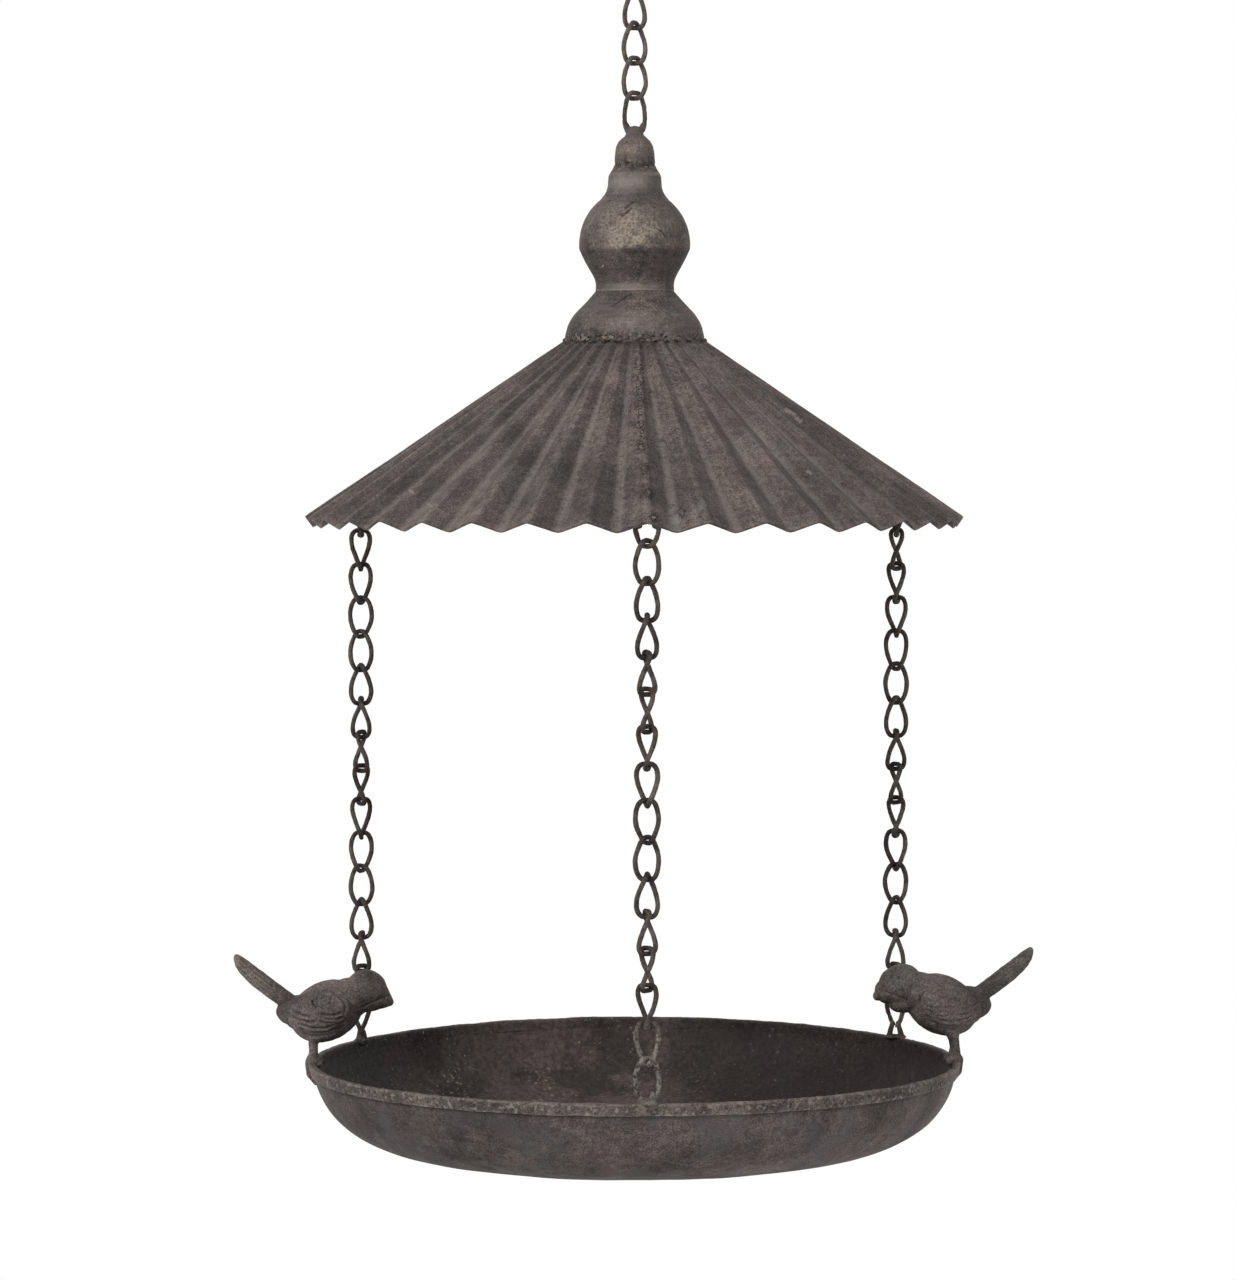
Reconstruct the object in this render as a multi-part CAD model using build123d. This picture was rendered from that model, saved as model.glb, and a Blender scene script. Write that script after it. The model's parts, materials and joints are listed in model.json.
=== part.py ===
from build123d import *
import math
import os

# Hanging bird feeder: a fluted sheet roof under a pressed finial, three chains and a shallow dish.
# Millimetres, +Z up, front chain towards -Y, birds at -X and +X.
# The origin is the point where the hanging hook bears on what carries it.

# Hanging hook
hook_wire = 3.2
hook_top_inner_radius = 11.0
hook_low_inner_radius = 4.0
hook_bend_spacing = 24.0
hook_top_end_angle = 205.0
hook_low_end_angle = 390.0

# Chain links
link_wire = 2.2
link_inner_length = 16.05
link_inner_width = 7.2
link_twist = 90.0
link_clearance = 0.25
top_link_count = 4
top_chain_turn = 45.0
chain_link_count = 14
chain_turn = 360.0
chain_turn_ease = 1.25
chain_places = {"front": (-90.0, 1), "right": (30.0, 1), "left": (150.0, -1)}

# Finial
finial_sheet = 1.2
knob_radius = 9.1
knob_straight_height = 5.6
knob_neck_radius = 4.4
knob_neck_height = 1.2
knob_dome_height = 7.4
collar_top_step = 0.3
collar_slope_height = 5.2
collar_top_radius = 11.9
collar_low_radius = 12.4
collar_height = 5.7
bulb_radius = 25.2
bulb_arc_radius = 26.0
bulb_arc_angle = 50.6
bulb_shoulder_height = 5.2
bulb_belt_height = 2.25
bulb_belt_fillet = 6.0
bulb_cone_height = 14.15
neck_radius = 17.6
neck_fillet = 8.0
neck_height = 5.0
flare_slope = 45.0
flare_arc_radius = 20.5
flare_radius = 31.7
weld_bead_radius = 1.7

# Fluted roof
roof_radius = 150.0
roof_pitch = 34.9
roof_sheet = 1.0
roof_top_radius = 27.0
flute_count = 36
flute_depth = 5.2
ridge_bend_radius = 2.2
groove_bend_radius = 6.0
rivet_head_radius = 1.5
rivet_count = 5
rivet_spacing = 17.5
rivet_edge_distance = 5.0
seam_lean = 1.0

# Chain eyes under the roof
roof_eye_drop = 7.2

# Dish
dish_radius = 148.8
dish_depth = 41.5
dish_sheet = 1.2
dish_base_radius = 90.0
dish_corner_radius = 82.5
dish_corner_angle = 24.8
rim_width = 3.6
rim_height = 5.4
rim_taper = 0.8

# Cast birds
bird_leg_inset = 2.0
bird_leg_radius = 2.0
bird_leg_spacing = 9.0
bird_toe_thickness = 1.7
bird_toe_width = 4.6
bird_toe_drop = 8.0
bird_toe_reach = 1.6
bird_body_length = 35.0
bird_body_width = 26.0
bird_body_height = 27.0
bird_body_tilt = 26.8
bird_body_x = 6.1
bird_body_z = 23.1
bird_rump_length = 22.0
bird_rump_width = 18.0
bird_rump_height = 14.6
bird_rump_x = -6.0
bird_head_radius = 9.8
bird_head_x = 24.0
bird_head_z = 32.2
bird_beak_reach = 14.0
bird_beak_root_out = 6.2
bird_beak_root_radius = 7.0
bird_beak_tip_radius = 0.8
bird_beak_tilt = 25.5
bird_wing_length = 29.0
bird_wing_width = 18.0
bird_wing_thickness = 6.0
bird_wing_tilt = 14.0
bird_wing_splay = 8.0
bird_wing_x = 2.6
bird_wing_z = 23.8
bird_wing_out = 10.6
bird_tail_length = 35.2
bird_tail_tilt = 42.0
bird_tail_x = -9.5
bird_tail_z = 24.0
bird_tail_root_width = 8.0
bird_tail_root_thickness = 9.0
bird_tail_mid_width = 10.0
bird_tail_mid_thickness = 8.6
bird_tail_end_width = 8.4
bird_tail_end_thickness = 6.4
bird_tail_end_length = 6.0
bird_tail_tip_width = 5.0
bird_tail_tip_thickness = 3.0

# Levels, worked out downwards from the bearing point
link_pitch = link_inner_length - link_clearance
link_half_length = (link_inner_length + link_wire) / 2
link_half_width = (link_inner_width + link_wire) / 2
hook_low_centre_z = -hook_top_inner_radius - hook_bend_spacing
hook_bearing_z = hook_low_centre_z - hook_low_inner_radius
first_link_z = hook_bearing_z + link_clearance - link_inner_length / 2
finial_eye_z = first_link_z - top_link_count * link_pitch
finial_top_z = finial_eye_z - link_half_length
knob_low_z = finial_top_z - knob_neck_height - knob_dome_height - knob_straight_height
collar_z = knob_low_z - collar_slope_height
bulb_top_z = collar_z - collar_height
bulb_arc_top_z = bulb_top_z - bulb_shoulder_height
bulb_seam_z = bulb_arc_top_z - bulb_arc_radius * math.sin(math.radians(bulb_arc_angle))
neck_low_z = bulb_seam_z - bulb_belt_height - bulb_cone_height - neck_height

flare_angle = math.radians(flare_slope)
flare_arc_top_radius = flare_radius - flare_arc_radius * (1 - math.cos(flare_angle))
flare_line_height = (flare_arc_top_radius - neck_radius) / math.tan(flare_angle)
flare_arc_top_z = neck_low_z - flare_line_height
finial_base_z = flare_arc_top_z - flare_arc_radius * math.sin(flare_angle)

pitch = math.radians(roof_pitch)
rim_mean_radius = roof_radius - flute_depth / 2 * math.sin(pitch)
roof_apex_z = finial_base_z + flare_radius * math.tan(pitch)
roof_rim_z = roof_apex_z - rim_mean_radius * math.tan(pitch)
roof_drop = roof_sheet / math.cos(pitch)
flute_share = flute_depth / (2 * math.sin(pitch) * rim_mean_radius)

chain_radius = dish_radius - rim_width + dish_sheet / 2
roof_eye_z = roof_rim_z - roof_eye_drop + link_inner_length / 2
rim_eye_z = roof_eye_z - (chain_link_count + 1) * link_pitch
rim_top_z = rim_eye_z - link_half_length
rim_low_z = rim_top_z - rim_height
dish_base_z = rim_top_z - dish_depth
dish_corner_top_z = dish_base_z + dish_corner_radius * (1 - math.cos(math.radians(dish_corner_angle)))

reach = roof_radius + dish_radius


def turned(profile):
    """Solid of revolution about Z from a closed outline of (radius, height) edges."""
    return revolve(Plane.XZ * make_face(profile), axis=Axis.Z)


def outline(edges, inner_shift):
    """Closed sheet outline: the edges, the same edges nearer the axis and the two ends."""
    outer = Curve() + edges
    inner = Pos(-inner_shift, 0, 0) * outer
    top = Line(edges[0] @ 0, (edges[0] @ 0) - Vector(inner_shift, 0))
    low = Line(edges[-1] @ 1, (edges[-1] @ 1) - Vector(inner_shift, 0))
    return outer + inner + top + low


def biarc(start, start_way, end, end_way):
    """Two arcs that leave start along start_way and reach end along end_way."""
    across = end - start
    ways = start_way + end_way
    spread = 2 * (1 - start_way.dot(end_way))
    along = across.dot(ways)
    handle = (math.sqrt(along**2 + spread * across.dot(across)) - along) / spread
    middle = (start + start_way * handle + end - end_way * handle) * 0.5
    first = TangentArc(start, middle, tangent=start_way)
    second = TangentArc(middle, end, tangent=first % 1)
    return [first, second]


def wire_along(edges, diameter):
    """Round wire along a run of edges."""
    path = Wire(edges)
    return sweep(Plane(path @ 0, z_dir=path % 0) * Circle(diameter / 2), path=path)


def twisted_link():
    """One chain link, upright about the origin, its two ends turned against each other."""
    half_turn = math.radians(link_twist) / 2
    lean = half_turn * link_half_width / link_half_length
    knots = [
        Vector(0, 0, link_half_length),
        Vector(link_half_width, 0, 0),
        Vector(0, 0, -link_half_length),
        Vector(-link_half_width, 0, 0),
    ]
    ways = [
        Vector(math.cos(half_turn), math.sin(half_turn), 0),
        Vector(0, -lean, -1).normalized(),
        Vector(-math.cos(half_turn), math.sin(half_turn), 0),
        Vector(0, -lean, 1).normalized(),
    ]
    quarters = []
    for i in range(4):
        j = (i + 1) % 4
        quarters.append(biarc(knots[i], ways[i], knots[j], ways[j]))
    one_side = wire_along(quarters[0] + quarters[1], link_wire)
    other_side = wire_along(quarters[2] + quarters[3], link_wire)
    return one_side + other_side


def hanging_hook():
    """S-shaped hook: a wide upper bend, a straight shank and a nearly closed lower bend."""
    top_radius = hook_top_inner_radius + hook_wire / 2
    low_radius = hook_low_inner_radius + hook_wire / 2
    tangent = math.degrees(math.acos((top_radius + low_radius) / hook_bend_spacing))
    top_stop = tangent - 90
    low_start = tangent + 90
    top_sweep = top_stop - hook_top_end_angle
    top_bend = CenterArc((0, -hook_top_inner_radius), top_radius, hook_top_end_angle, top_sweep)
    low_sweep = hook_low_end_angle - low_start
    low_bend = CenterArc((0, hook_low_centre_z), low_radius, low_start, low_sweep)
    shank = Line(top_bend @ 1, low_bend @ 0)
    path = Plane.XZ * (Curve() + [top_bend, shank, low_bend])
    return wire_along(path.edges(), hook_wire)


def finial_knob():
    """Solid turned knob with a short flat-topped neck."""
    side = Line((knob_radius, knob_low_z), (knob_radius, knob_low_z + knob_straight_height))
    dome_top = (knob_neck_radius, finial_top_z - knob_neck_height)
    dome = TangentArc(side @ 1, dome_top, tangent=(0, 1))
    neck = Polyline(dome_top, (knob_neck_radius, finial_top_z), (0, finial_top_z), (0, knob_low_z), side @ 0)
    return turned(Curve() + [side, dome, neck])


def finial_upper_bulb():
    """Pressed shell: collar, shoulder and the upper half of the bulb."""
    collar = Polyline(
        (knob_radius + collar_top_step, knob_low_z),
        (collar_top_radius, collar_z),
        (collar_low_radius, bulb_top_z),
    )
    arc_centre = (bulb_radius - bulb_arc_radius, bulb_seam_z)
    bulb = CenterArc(arc_centre, bulb_arc_radius, bulb_arc_angle, -bulb_arc_angle)
    shoulder_way = -(bulb % 0)
    shoulder = TangentArc(bulb @ 0, (collar_low_radius, bulb_top_z), tangent=shoulder_way)
    shoulder_down = TangentArc(shoulder @ 1, bulb @ 0, tangent=-(shoulder % 1))
    return turned(outline(collar.edges() + [shoulder_down, bulb], finial_sheet))


def finial_lower_bulb():
    """Pressed shell: the belt, the cone under it and the neck."""
    belt_low_z = bulb_seam_z - bulb_belt_height
    side = FilletPolyline(
        (bulb_radius, bulb_seam_z),
        (bulb_radius, belt_low_z),
        (neck_radius, belt_low_z - bulb_cone_height),
        (neck_radius, neck_low_z),
        radius=[bulb_belt_fillet, neck_fillet],
    )
    return turned(outline(list(side.edges()), finial_sheet))


def flare_edges():
    """Outer edges of the flare, carried down past the roof sheet."""
    slope = Line((neck_radius, neck_low_z), (flare_arc_top_radius, flare_arc_top_z))
    arc_centre = (flare_radius - flare_arc_radius, finial_base_z)
    arc = CenterArc(arc_centre, flare_arc_radius, flare_slope, -flare_slope)
    skirt = Line(arc @ 1, (flare_radius, finial_base_z - flute_depth))
    return [slope, arc, skirt]


def flare_filled():
    """Everything inside the flare's outer face."""
    edges = flare_edges()
    ends = Polyline(edges[-1] @ 1, (0, finial_base_z - flute_depth), (0, neck_low_z), edges[0] @ 0)
    return turned(Curve() + edges + [ends])


def flute_section(mean_radius):
    """Zig-zag outline of the roof where its mean radius is the one given."""
    share = mean_radius / rim_mean_radius
    points = []
    radii = []
    for i in range(2 * flute_count):
        side = 1 - 2 * (i % 2)
        radius = mean_radius * (1 + side * flute_share)
        angle = math.radians(-90 + i * 180 / flute_count)
        points.append((radius * math.cos(angle), radius * math.sin(angle)))
        radii.append(share * (ridge_bend_radius if side > 0 else groove_bend_radius))
    height = roof_apex_z - mean_radius * math.tan(pitch)
    return Pos(0, 0, height) * make_face(FilletPolyline(*points, radius=radii, close=True))


def roof_blank():
    """Solid fluted cone whose side is the roof's outer face, longer than the roof both ways."""
    low_radius = rim_mean_radius + 2 * link_inner_length / math.tan(pitch)
    return loft([flute_section(roof_top_radius / 2), flute_section(low_radius)], ruled=True)


def roof_trim():
    """Cone frustum that squares the rim to the slope and levels the top opening."""
    top_z = roof_apex_z - roof_top_radius * math.tan(pitch)
    low_z = roof_rim_z - flute_depth
    top_radius = rim_mean_radius + (top_z - roof_rim_z) * math.tan(pitch)
    low_radius = rim_mean_radius + (low_z - roof_rim_z) * math.tan(pitch)
    height = top_z - low_z
    return Pos(0, 0, low_z + height / 2) * Cone(low_radius, top_radius, height)


def seam_rivet_places():
    """Points on the outer face along the lap seam over the front ridge."""
    places = []
    for i in range(rivet_count):
        radius = roof_radius - (rivet_edge_distance + i * rivet_spacing) * math.cos(pitch)
        turn = seam_lean * (1 - 2 * i / max(rivet_count - 1, 1))
        height_share = 1 - 2 * abs(turn) * flute_count / 180
        mean_radius = radius / (1 + flute_share * height_share)
        angle = math.radians(turn - 90)
        height = roof_apex_z - mean_radius * math.tan(pitch)
        places.append((radius * math.cos(angle), radius * math.sin(angle), height))
    return places


def bowl(inset):
    """Filled bowl whose face lies inset from the dish's outer face."""
    angle = math.radians(dish_corner_angle)
    radius = dish_corner_radius - inset
    centre_z = dish_base_z + dish_corner_radius
    floor = Line((0, centre_z - radius), (dish_base_radius, centre_z - radius))
    corner = CenterArc((dish_base_radius, centre_z), radius, -90, dish_corner_angle)
    wall_top = (chain_radius + dish_sheet / 2 - inset, rim_low_z)
    wall = TangentArc(corner @ 1, wall_top, tangent=(math.cos(angle), math.sin(angle)))
    lid = Polyline(wall_top, (0, rim_low_z), (0, centre_z - radius))
    return turned(Curve() + [floor, corner, wall, lid])


def dish_rim():
    """Rim band, wider at its top, on the upper edge of the wall."""
    band = Polyline(
        (dish_radius, rim_top_z),
        (dish_radius - rim_taper, rim_low_z),
        (dish_radius - rim_width, rim_low_z),
        (dish_radius - rim_width, rim_top_z),
        close=True,
    )
    return turned(band)


def ellipsoid(length, width, height):
    """Egg-round solid with the given overall sizes."""
    return scale(Sphere(1), by=(length / 2, width / 2, height / 2))


def bird_tail():
    """Cocked tail, a flat spoon that widens and then narrows to its tip."""
    stations = [
        (0, bird_tail_root_width, bird_tail_root_thickness),
        (bird_tail_length / 2, bird_tail_mid_width, bird_tail_mid_thickness),
        (bird_tail_length - bird_tail_end_length, bird_tail_end_width, bird_tail_end_thickness),
        (bird_tail_length, bird_tail_tip_width, bird_tail_tip_thickness),
    ]
    sections = []
    for along, width, thickness in stations:
        sections.append(Pos(0, 0, along) * Ellipse(thickness / 2, width / 2))
    return Pos(bird_tail_x, 0, bird_tail_z) * Rot(0, bird_tail_tilt - 90, 0) * loft(sections)


def bird_foot(side):
    """Leg, and toes that lie on the rim band and hook over its outer edge."""
    leg_y = side * bird_leg_spacing / 2
    leg = Pos(0, leg_y, bird_body_z / 2) * Cylinder(bird_leg_radius, bird_body_z)
    toe_out = bird_leg_inset + bird_toe_thickness
    toe_length = toe_out + bird_toe_reach
    toe_height = bird_toe_thickness + bird_toe_drop
    toe_x = bird_toe_reach - toe_length / 2
    toe_z = bird_toe_thickness - toe_height / 2
    toe = Pos(toe_x, leg_y, toe_z) * Box(toe_length, bird_toe_width, toe_height)
    return leg + toe


def cast_bird():
    """Bird looking along +X, its legs standing on the origin's level."""
    body_place = Pos(bird_body_x, 0, bird_body_z) * Rot(0, -bird_body_tilt, 0)
    bird = body_place * ellipsoid(bird_body_length, bird_body_width, bird_body_height)
    rump = ellipsoid(bird_rump_length, bird_rump_width, bird_rump_height)
    bird += Pos(bird_rump_x, 0, bird_body_z) * rump
    head_place = Pos(bird_head_x, 0, bird_head_z)
    bird += head_place * Sphere(bird_head_radius)
    beak_length = bird_beak_reach - bird_beak_root_out
    beak = Cone(bird_beak_root_radius, bird_beak_tip_radius, beak_length)
    beak_place = head_place * Rot(0, 90 + bird_beak_tilt, 0)
    bird += beak_place * Pos(0, 0, bird_beak_root_out + beak_length / 2) * beak
    bird += bird_tail()
    for side in (-1, 1):
        wing_turn = Rot(0, -bird_wing_tilt, side * bird_wing_splay)
        wing_place = Pos(bird_wing_x, side * bird_wing_out, bird_wing_z) * wing_turn
        bird += wing_place * ellipsoid(bird_wing_length, bird_wing_thickness, bird_wing_width)
        bird += bird_foot(side)
    return bird


right_link = twisted_link()
left_link = mirror(right_link, about=Plane.XZ)
blank = roof_blank()
under_blank = Pos(0, 0, -roof_drop) * blank
above_rim = Pos(0, 0, rim_top_z + reach / 2) * Box(2 * reach, 2 * reach, reach)
above_knob = Pos(0, 0, finial_top_z + reach / 2) * Box(reach, reach, reach)

nodes = {}
nodes["hanging_hook"] = hanging_hook()

for i in range(top_link_count):
    turn = top_chain_turn * (1 - i / top_link_count)
    nodes[f"top_link_{i + 1}"] = Pos(0, 0, first_link_z - i * link_pitch) * Rot(0, 0, turn) * right_link

nodes["finial_eye"] = (Pos(0, 0, finial_eye_z) * right_link) & above_knob
nodes["finial_knob"] = finial_knob()
nodes["finial_upper_bulb"] = finial_upper_bulb()
nodes["finial_lower_bulb"] = finial_lower_bulb()
flare_solid = flare_filled()
nodes["finial_flare"] = turned(outline(flare_edges(), finial_sheet)) - blank
bead = Pos(0, 0, finial_base_z) * Torus(flare_radius, weld_bead_radius)
nodes["finial_weld"] = bead - flare_solid - blank
nodes["roof"] = (blank - under_blank) & roof_trim()
rivets = [Pos(*place) * Sphere(rivet_head_radius) - blank for place in seam_rivet_places()]
nodes["seam_rivets"] = Compound(children=[rivet.solid() for rivet in rivets])

for side, (azimuth, hand) in chain_places.items():
    angle = math.radians(azimuth)
    hang = Pos(chain_radius * math.cos(angle), chain_radius * math.sin(angle), roof_eye_z)
    last = chain_link_count + 1
    link = right_link if hand > 0 else left_link
    links = []
    for k in range(last + 1):
        turn = azimuth + 90 + hand * chain_turn * (k / last) ** chain_turn_ease
        links.append(hang * Pos(0, 0, -k * link_pitch) * Rot(0, 0, turn) * link)
    nodes[f"{side}_roof_eye"] = links[0] & under_blank
    nodes[f"{side}_top_link"] = links[1]
    nodes[f"{side}_chain"] = Compound(children=[item.solid() for item in links[2:-2]])
    nodes[f"{side}_bottom_link"] = links[-2]
    nodes[f"{side}_rim_eye"] = links[-1] & above_rim

filled_bowl = bowl(0)
dish_shell = filled_bowl - bowl(dish_sheet)
bottom_core = Pos(0, 0, dish_base_z + dish_depth / 2) * Cylinder(dish_base_radius, dish_depth)
above_corner = Pos(0, 0, dish_corner_top_z + reach / 2) * Box(2 * reach, 2 * reach, reach)
nodes["dish_bottom"] = dish_shell & bottom_core
nodes["dish_corner"] = dish_shell - bottom_core - above_corner
nodes["dish_wall"] = dish_shell & above_corner
nodes["dish_rim"] = dish_rim()
bird = cast_bird()
bird_radius = dish_radius - bird_leg_inset
for name, turn in (("left_bird", 180), ("right_bird", 0)):
    placed = Rot(0, 0, turn) * Pos(bird_radius, 0, rim_top_z) * Rot(0, 0, 180) * bird
    nodes[name] = placed - nodes["dish_rim"] - filled_bowl

os.makedirs("parts", exist_ok=True)
for name, shape in nodes.items():
    export_step(shape, f"parts/{name}.step")
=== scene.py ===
"""Hanging bird feeder: a fluted iron roof, twisted-link chains and a dish with two cast birds."""

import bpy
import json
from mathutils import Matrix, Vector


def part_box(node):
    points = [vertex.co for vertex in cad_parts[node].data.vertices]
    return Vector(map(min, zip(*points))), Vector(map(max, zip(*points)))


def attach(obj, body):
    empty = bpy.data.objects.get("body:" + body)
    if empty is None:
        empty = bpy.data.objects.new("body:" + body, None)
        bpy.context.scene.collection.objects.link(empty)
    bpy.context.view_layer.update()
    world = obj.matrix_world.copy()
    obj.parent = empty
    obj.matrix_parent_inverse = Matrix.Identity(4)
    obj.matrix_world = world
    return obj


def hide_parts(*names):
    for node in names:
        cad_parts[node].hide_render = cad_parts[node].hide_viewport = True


bl_info = {
    "name": "Hanging bird feeder",
    "version": (1, 0, 0),
    "blender": (4, 5, 0),
    "location": "3D View > Sidebar > Feeder",
    "description": "Dresses the packed hanging feeder in aged iron",
    "category": "Object",
}

import json
import math

import bmesh
import bpy
import numpy as np
from bpy.props import FloatProperty, FloatVectorProperty, IntProperty, PointerProperty
from mathutils import Matrix, Vector, noise

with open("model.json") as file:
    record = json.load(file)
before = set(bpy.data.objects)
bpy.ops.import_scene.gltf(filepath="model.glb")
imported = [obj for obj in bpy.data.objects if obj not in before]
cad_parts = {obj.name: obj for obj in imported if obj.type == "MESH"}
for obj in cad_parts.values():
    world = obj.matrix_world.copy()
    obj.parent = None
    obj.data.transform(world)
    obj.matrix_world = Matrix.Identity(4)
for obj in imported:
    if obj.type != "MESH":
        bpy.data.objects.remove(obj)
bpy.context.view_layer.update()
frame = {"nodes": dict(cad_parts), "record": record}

MM = 0.001
BODY_OF = {
    node: body
    for body, nodes in frame["record"]["behaviour"]["bodies"].items()
    for node in nodes
}
SIDES = ("front", "right", "left")
AZIMUTH = {"front": -90.0, "right": 30.0, "left": 150.0}
# Which way the links of each chain are twisted
HAND = {"front": 1.0, "right": 1.0, "left": -1.0}
# How far the links next to a roof eye are turned back from it, in degrees; the rest of the chain makes it up
TURNED_BACK = {"front": 0.0, "right": 44.0, "left": 0.0}
# Steps from the roof eye of a chain, which is its item 0, to its rim eye
CHAIN_STEPS = 15
# Which way each rim eye's feet spread, half their width at the rim and at their tops, their height and the
# height at which the wire of the eye starts, in millimetres
EYE_FEET = {
    "front": (0.0, 2.6, 3.6, 4.4, -0.8),
    "right": (90.0, 3.3, 1.3, 7.0, 4.2),
    "left": (0.0, 2.6, 3.6, 4.4, -0.8),
}
RIM_LOW, RIM_TOP = (corner.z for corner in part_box("dish_rim"))
KNOB_LOW, KNOB_TOP = (corner.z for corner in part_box("finial_knob"))
DISH_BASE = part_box("dish_bottom")[0].z
BULB_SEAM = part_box("finial_upper_bulb")[0].z
NECK_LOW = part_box("finial_lower_bulb")[0].z
HOOK_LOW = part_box("hanging_hook")[0].z


# Sizes and colours that a user would change

LENGTH = {"unit": "LENGTH", "precision": 4}
FINE_LENGTH = {"unit": "LENGTH", "precision": 5}
TINT = {"subtype": "COLOR", "size": 4, "min": 0, "max": 1}


class FeederLinks(bpy.types.PropertyGroup):
    """Sizes of the twisted chain links and of the hanging hook."""

    wire: FloatProperty(name="Wire", description="Wire diameter of a link", default=2.2 * MM, **LENGTH)
    inner_length: FloatProperty(
        name="Inner length", description="Clear length inside a link", default=16.05 * MM, **LENGTH
    )
    inner_width: FloatProperty(
        name="Inner width", description="Clear width inside a link", default=7.9 * MM, **LENGTH
    )
    twist: FloatProperty(
        name="Twist",
        description="Turn of a link's lower end against its upper end",
        default=math.radians(90),
        unit="ROTATION",
    )
    pitch: FloatProperty(
        name="Pitch", description="Height from one link to the next", default=15.8 * MM, **LENGTH
    )
    turn: FloatProperty(
        name="Chain turn",
        description="Turn of a long chain from its top to its end",
        default=math.radians(360),
        unit="ROTATION",
    )
    ease: FloatProperty(name="Turn ease", description="How late the turn of a long chain comes", default=1.25)
    bend: FloatProperty(
        name="Hand bend", description="How far links stray from a true shape", default=0.9 * MM, **FINE_LENGTH
    )
    hook_wire: FloatProperty(
        name="Hook wire", description="Wire diameter of the hanging hook", default=3.2 * MM, **LENGTH
    )
    hook_top_radius: FloatProperty(
        name="Hook upper bend", description="Inner radius of the hook's upper bend", default=11 * MM, **LENGTH
    )
    hook_low_radius: FloatProperty(
        name="Hook lower bend", description="Inner radius of the hook's lower bend", default=4 * MM, **LENGTH
    )


class FeederRoof(bpy.types.PropertyGroup):
    """Sizes of the fluted roof and of the finial on it."""

    radius: FloatProperty(
        name="Radius", description="Radius of the ridges at the rim", default=150 * MM, **LENGTH
    )
    pitch: FloatProperty(
        name="Pitch", description="Slope of the roof", default=math.radians(34.9), unit="ROTATION"
    )
    sheet: FloatProperty(name="Sheet", description="Thickness of the roof sheet", default=1 * MM, **LENGTH)
    top_radius: FloatProperty(
        name="Top opening", description="Radius of the opening under the finial", default=27 * MM, **LENGTH
    )
    flutes: IntProperty(name="Flutes", description="Number of ridges", default=36, min=6)
    depth: FloatProperty(
        name="Flute depth",
        description="Ridge to groove at the rim, square to the slope",
        default=5.5 * MM,
        **LENGTH,
    )
    ripple: FloatProperty(
        name="Ripple", description="Height of the sheet's hand-made ripple", default=0.9 * MM, **FINE_LENGTH
    )
    finial_sheet: FloatProperty(
        name="Finial sheet", description="Thickness of the finial's pressed shells", default=1.2 * MM, **LENGTH
    )
    flare_radius: FloatProperty(
        name="Flare", description="Radius of the finial's foot", default=31.7 * MM, **LENGTH
    )
    weld_bead: FloatProperty(
        name="Weld", description="Radius of the weld round the finial's foot", default=1.7 * MM, **FINE_LENGTH
    )
    weld_lumps: IntProperty(name="Weld lumps", description="Lumps in that weld", default=130, min=8)
    rivet_radius: FloatProperty(
        name="Rivet", description="Radius of a seam rivet's head", default=1.5 * MM, **FINE_LENGTH
    )


class FeederDish(bpy.types.PropertyGroup):
    """Sizes of the dish and its rim band."""

    radius: FloatProperty(
        name="Radius", description="Outer radius of the rim band", default=148.8 * MM, **LENGTH
    )
    sheet: FloatProperty(name="Sheet", description="Thickness of the dish sheet", default=1.2 * MM, **LENGTH)
    base_radius: FloatProperty(name="Base", description="Radius of the flat bottom", default=90 * MM, **LENGTH)
    corner_radius: FloatProperty(
        name="Corner", description="Radius of the curve between bottom and wall", default=82.5 * MM, **LENGTH
    )
    corner_angle: FloatProperty(
        name="Corner angle", description="Turn of that curve", default=math.radians(24.8), unit="ROTATION"
    )
    rim_width: FloatProperty(name="Rim width", description="Width of the rim band", default=3.6 * MM, **LENGTH)
    rim_taper: FloatProperty(
        name="Rim taper", description="How far the rim band leans out at its top", default=0.8 * MM, **LENGTH
    )


class FeederIron(bpy.types.PropertyGroup):
    """Colours of the aged iron."""

    dark: FloatVectorProperty(
        name="Dark", description="Darkest patches of the iron", default=(0.052, 0.043, 0.040, 1), **TINT
    )
    brown: FloatVectorProperty(
        name="Brown", description="Purple-brown patches", default=(0.112, 0.088, 0.081, 1), **TINT
    )
    grey: FloatVectorProperty(
        name="Grey", description="Greenish grey patches", default=(0.088, 0.084, 0.075, 1), **TINT
    )
    # Rubbed is also the colour of the painted highlights on edges and along the sides of the links.
    rubbed: FloatVectorProperty(
        name="Rubbed", description="Edges rubbed bare", default=(0.240, 0.205, 0.178, 1), **TINT
    )
    tan: FloatVectorProperty(
        name="Tan", description="Dull tan bloom on the bulb", default=(0.400, 0.335, 0.270, 1), **TINT
    )
    # Also the colour of the painted shade in grooves, corners, hollows and where the links meet.
    soot: FloatVectorProperty(
        name="Soot", description="Dirt in grooves and corners", default=(0.016, 0.013, 0.012, 1), **TINT
    )


class FeederStage(bpy.types.PropertyGroup):
    """Camera, floor and light."""

    camera_place: FloatVectorProperty(
        name="Camera",
        description="Where the camera stands",
        default=(-0.0781, -2.1566, -0.2558),
        subtype="TRANSLATION",
        size=3,
    )
    camera_tilt: FloatProperty(
        name="Tilt", description="How far the camera looks down", default=math.radians(2.483), unit="ROTATION"
    )
    camera_turn: FloatProperty(
        name="Turn",
        description="Turn of the camera about the vertical",
        default=math.radians(-2.075),
        unit="ROTATION",
    )
    lens: FloatProperty(name="Lens", description="Focal length in millimetres", default=133.2)
    shift: FloatProperty(name="Shift", description="Sideways shift of the lens", default=-0.0131)
    floor: FloatProperty(name="Floor", description="Height of the floor", default=-0.86, unit="LENGTH")
    light: FloatProperty(name="Light", description="Strength of all the lamps together", default=1.0)


# Mesh helpers


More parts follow.
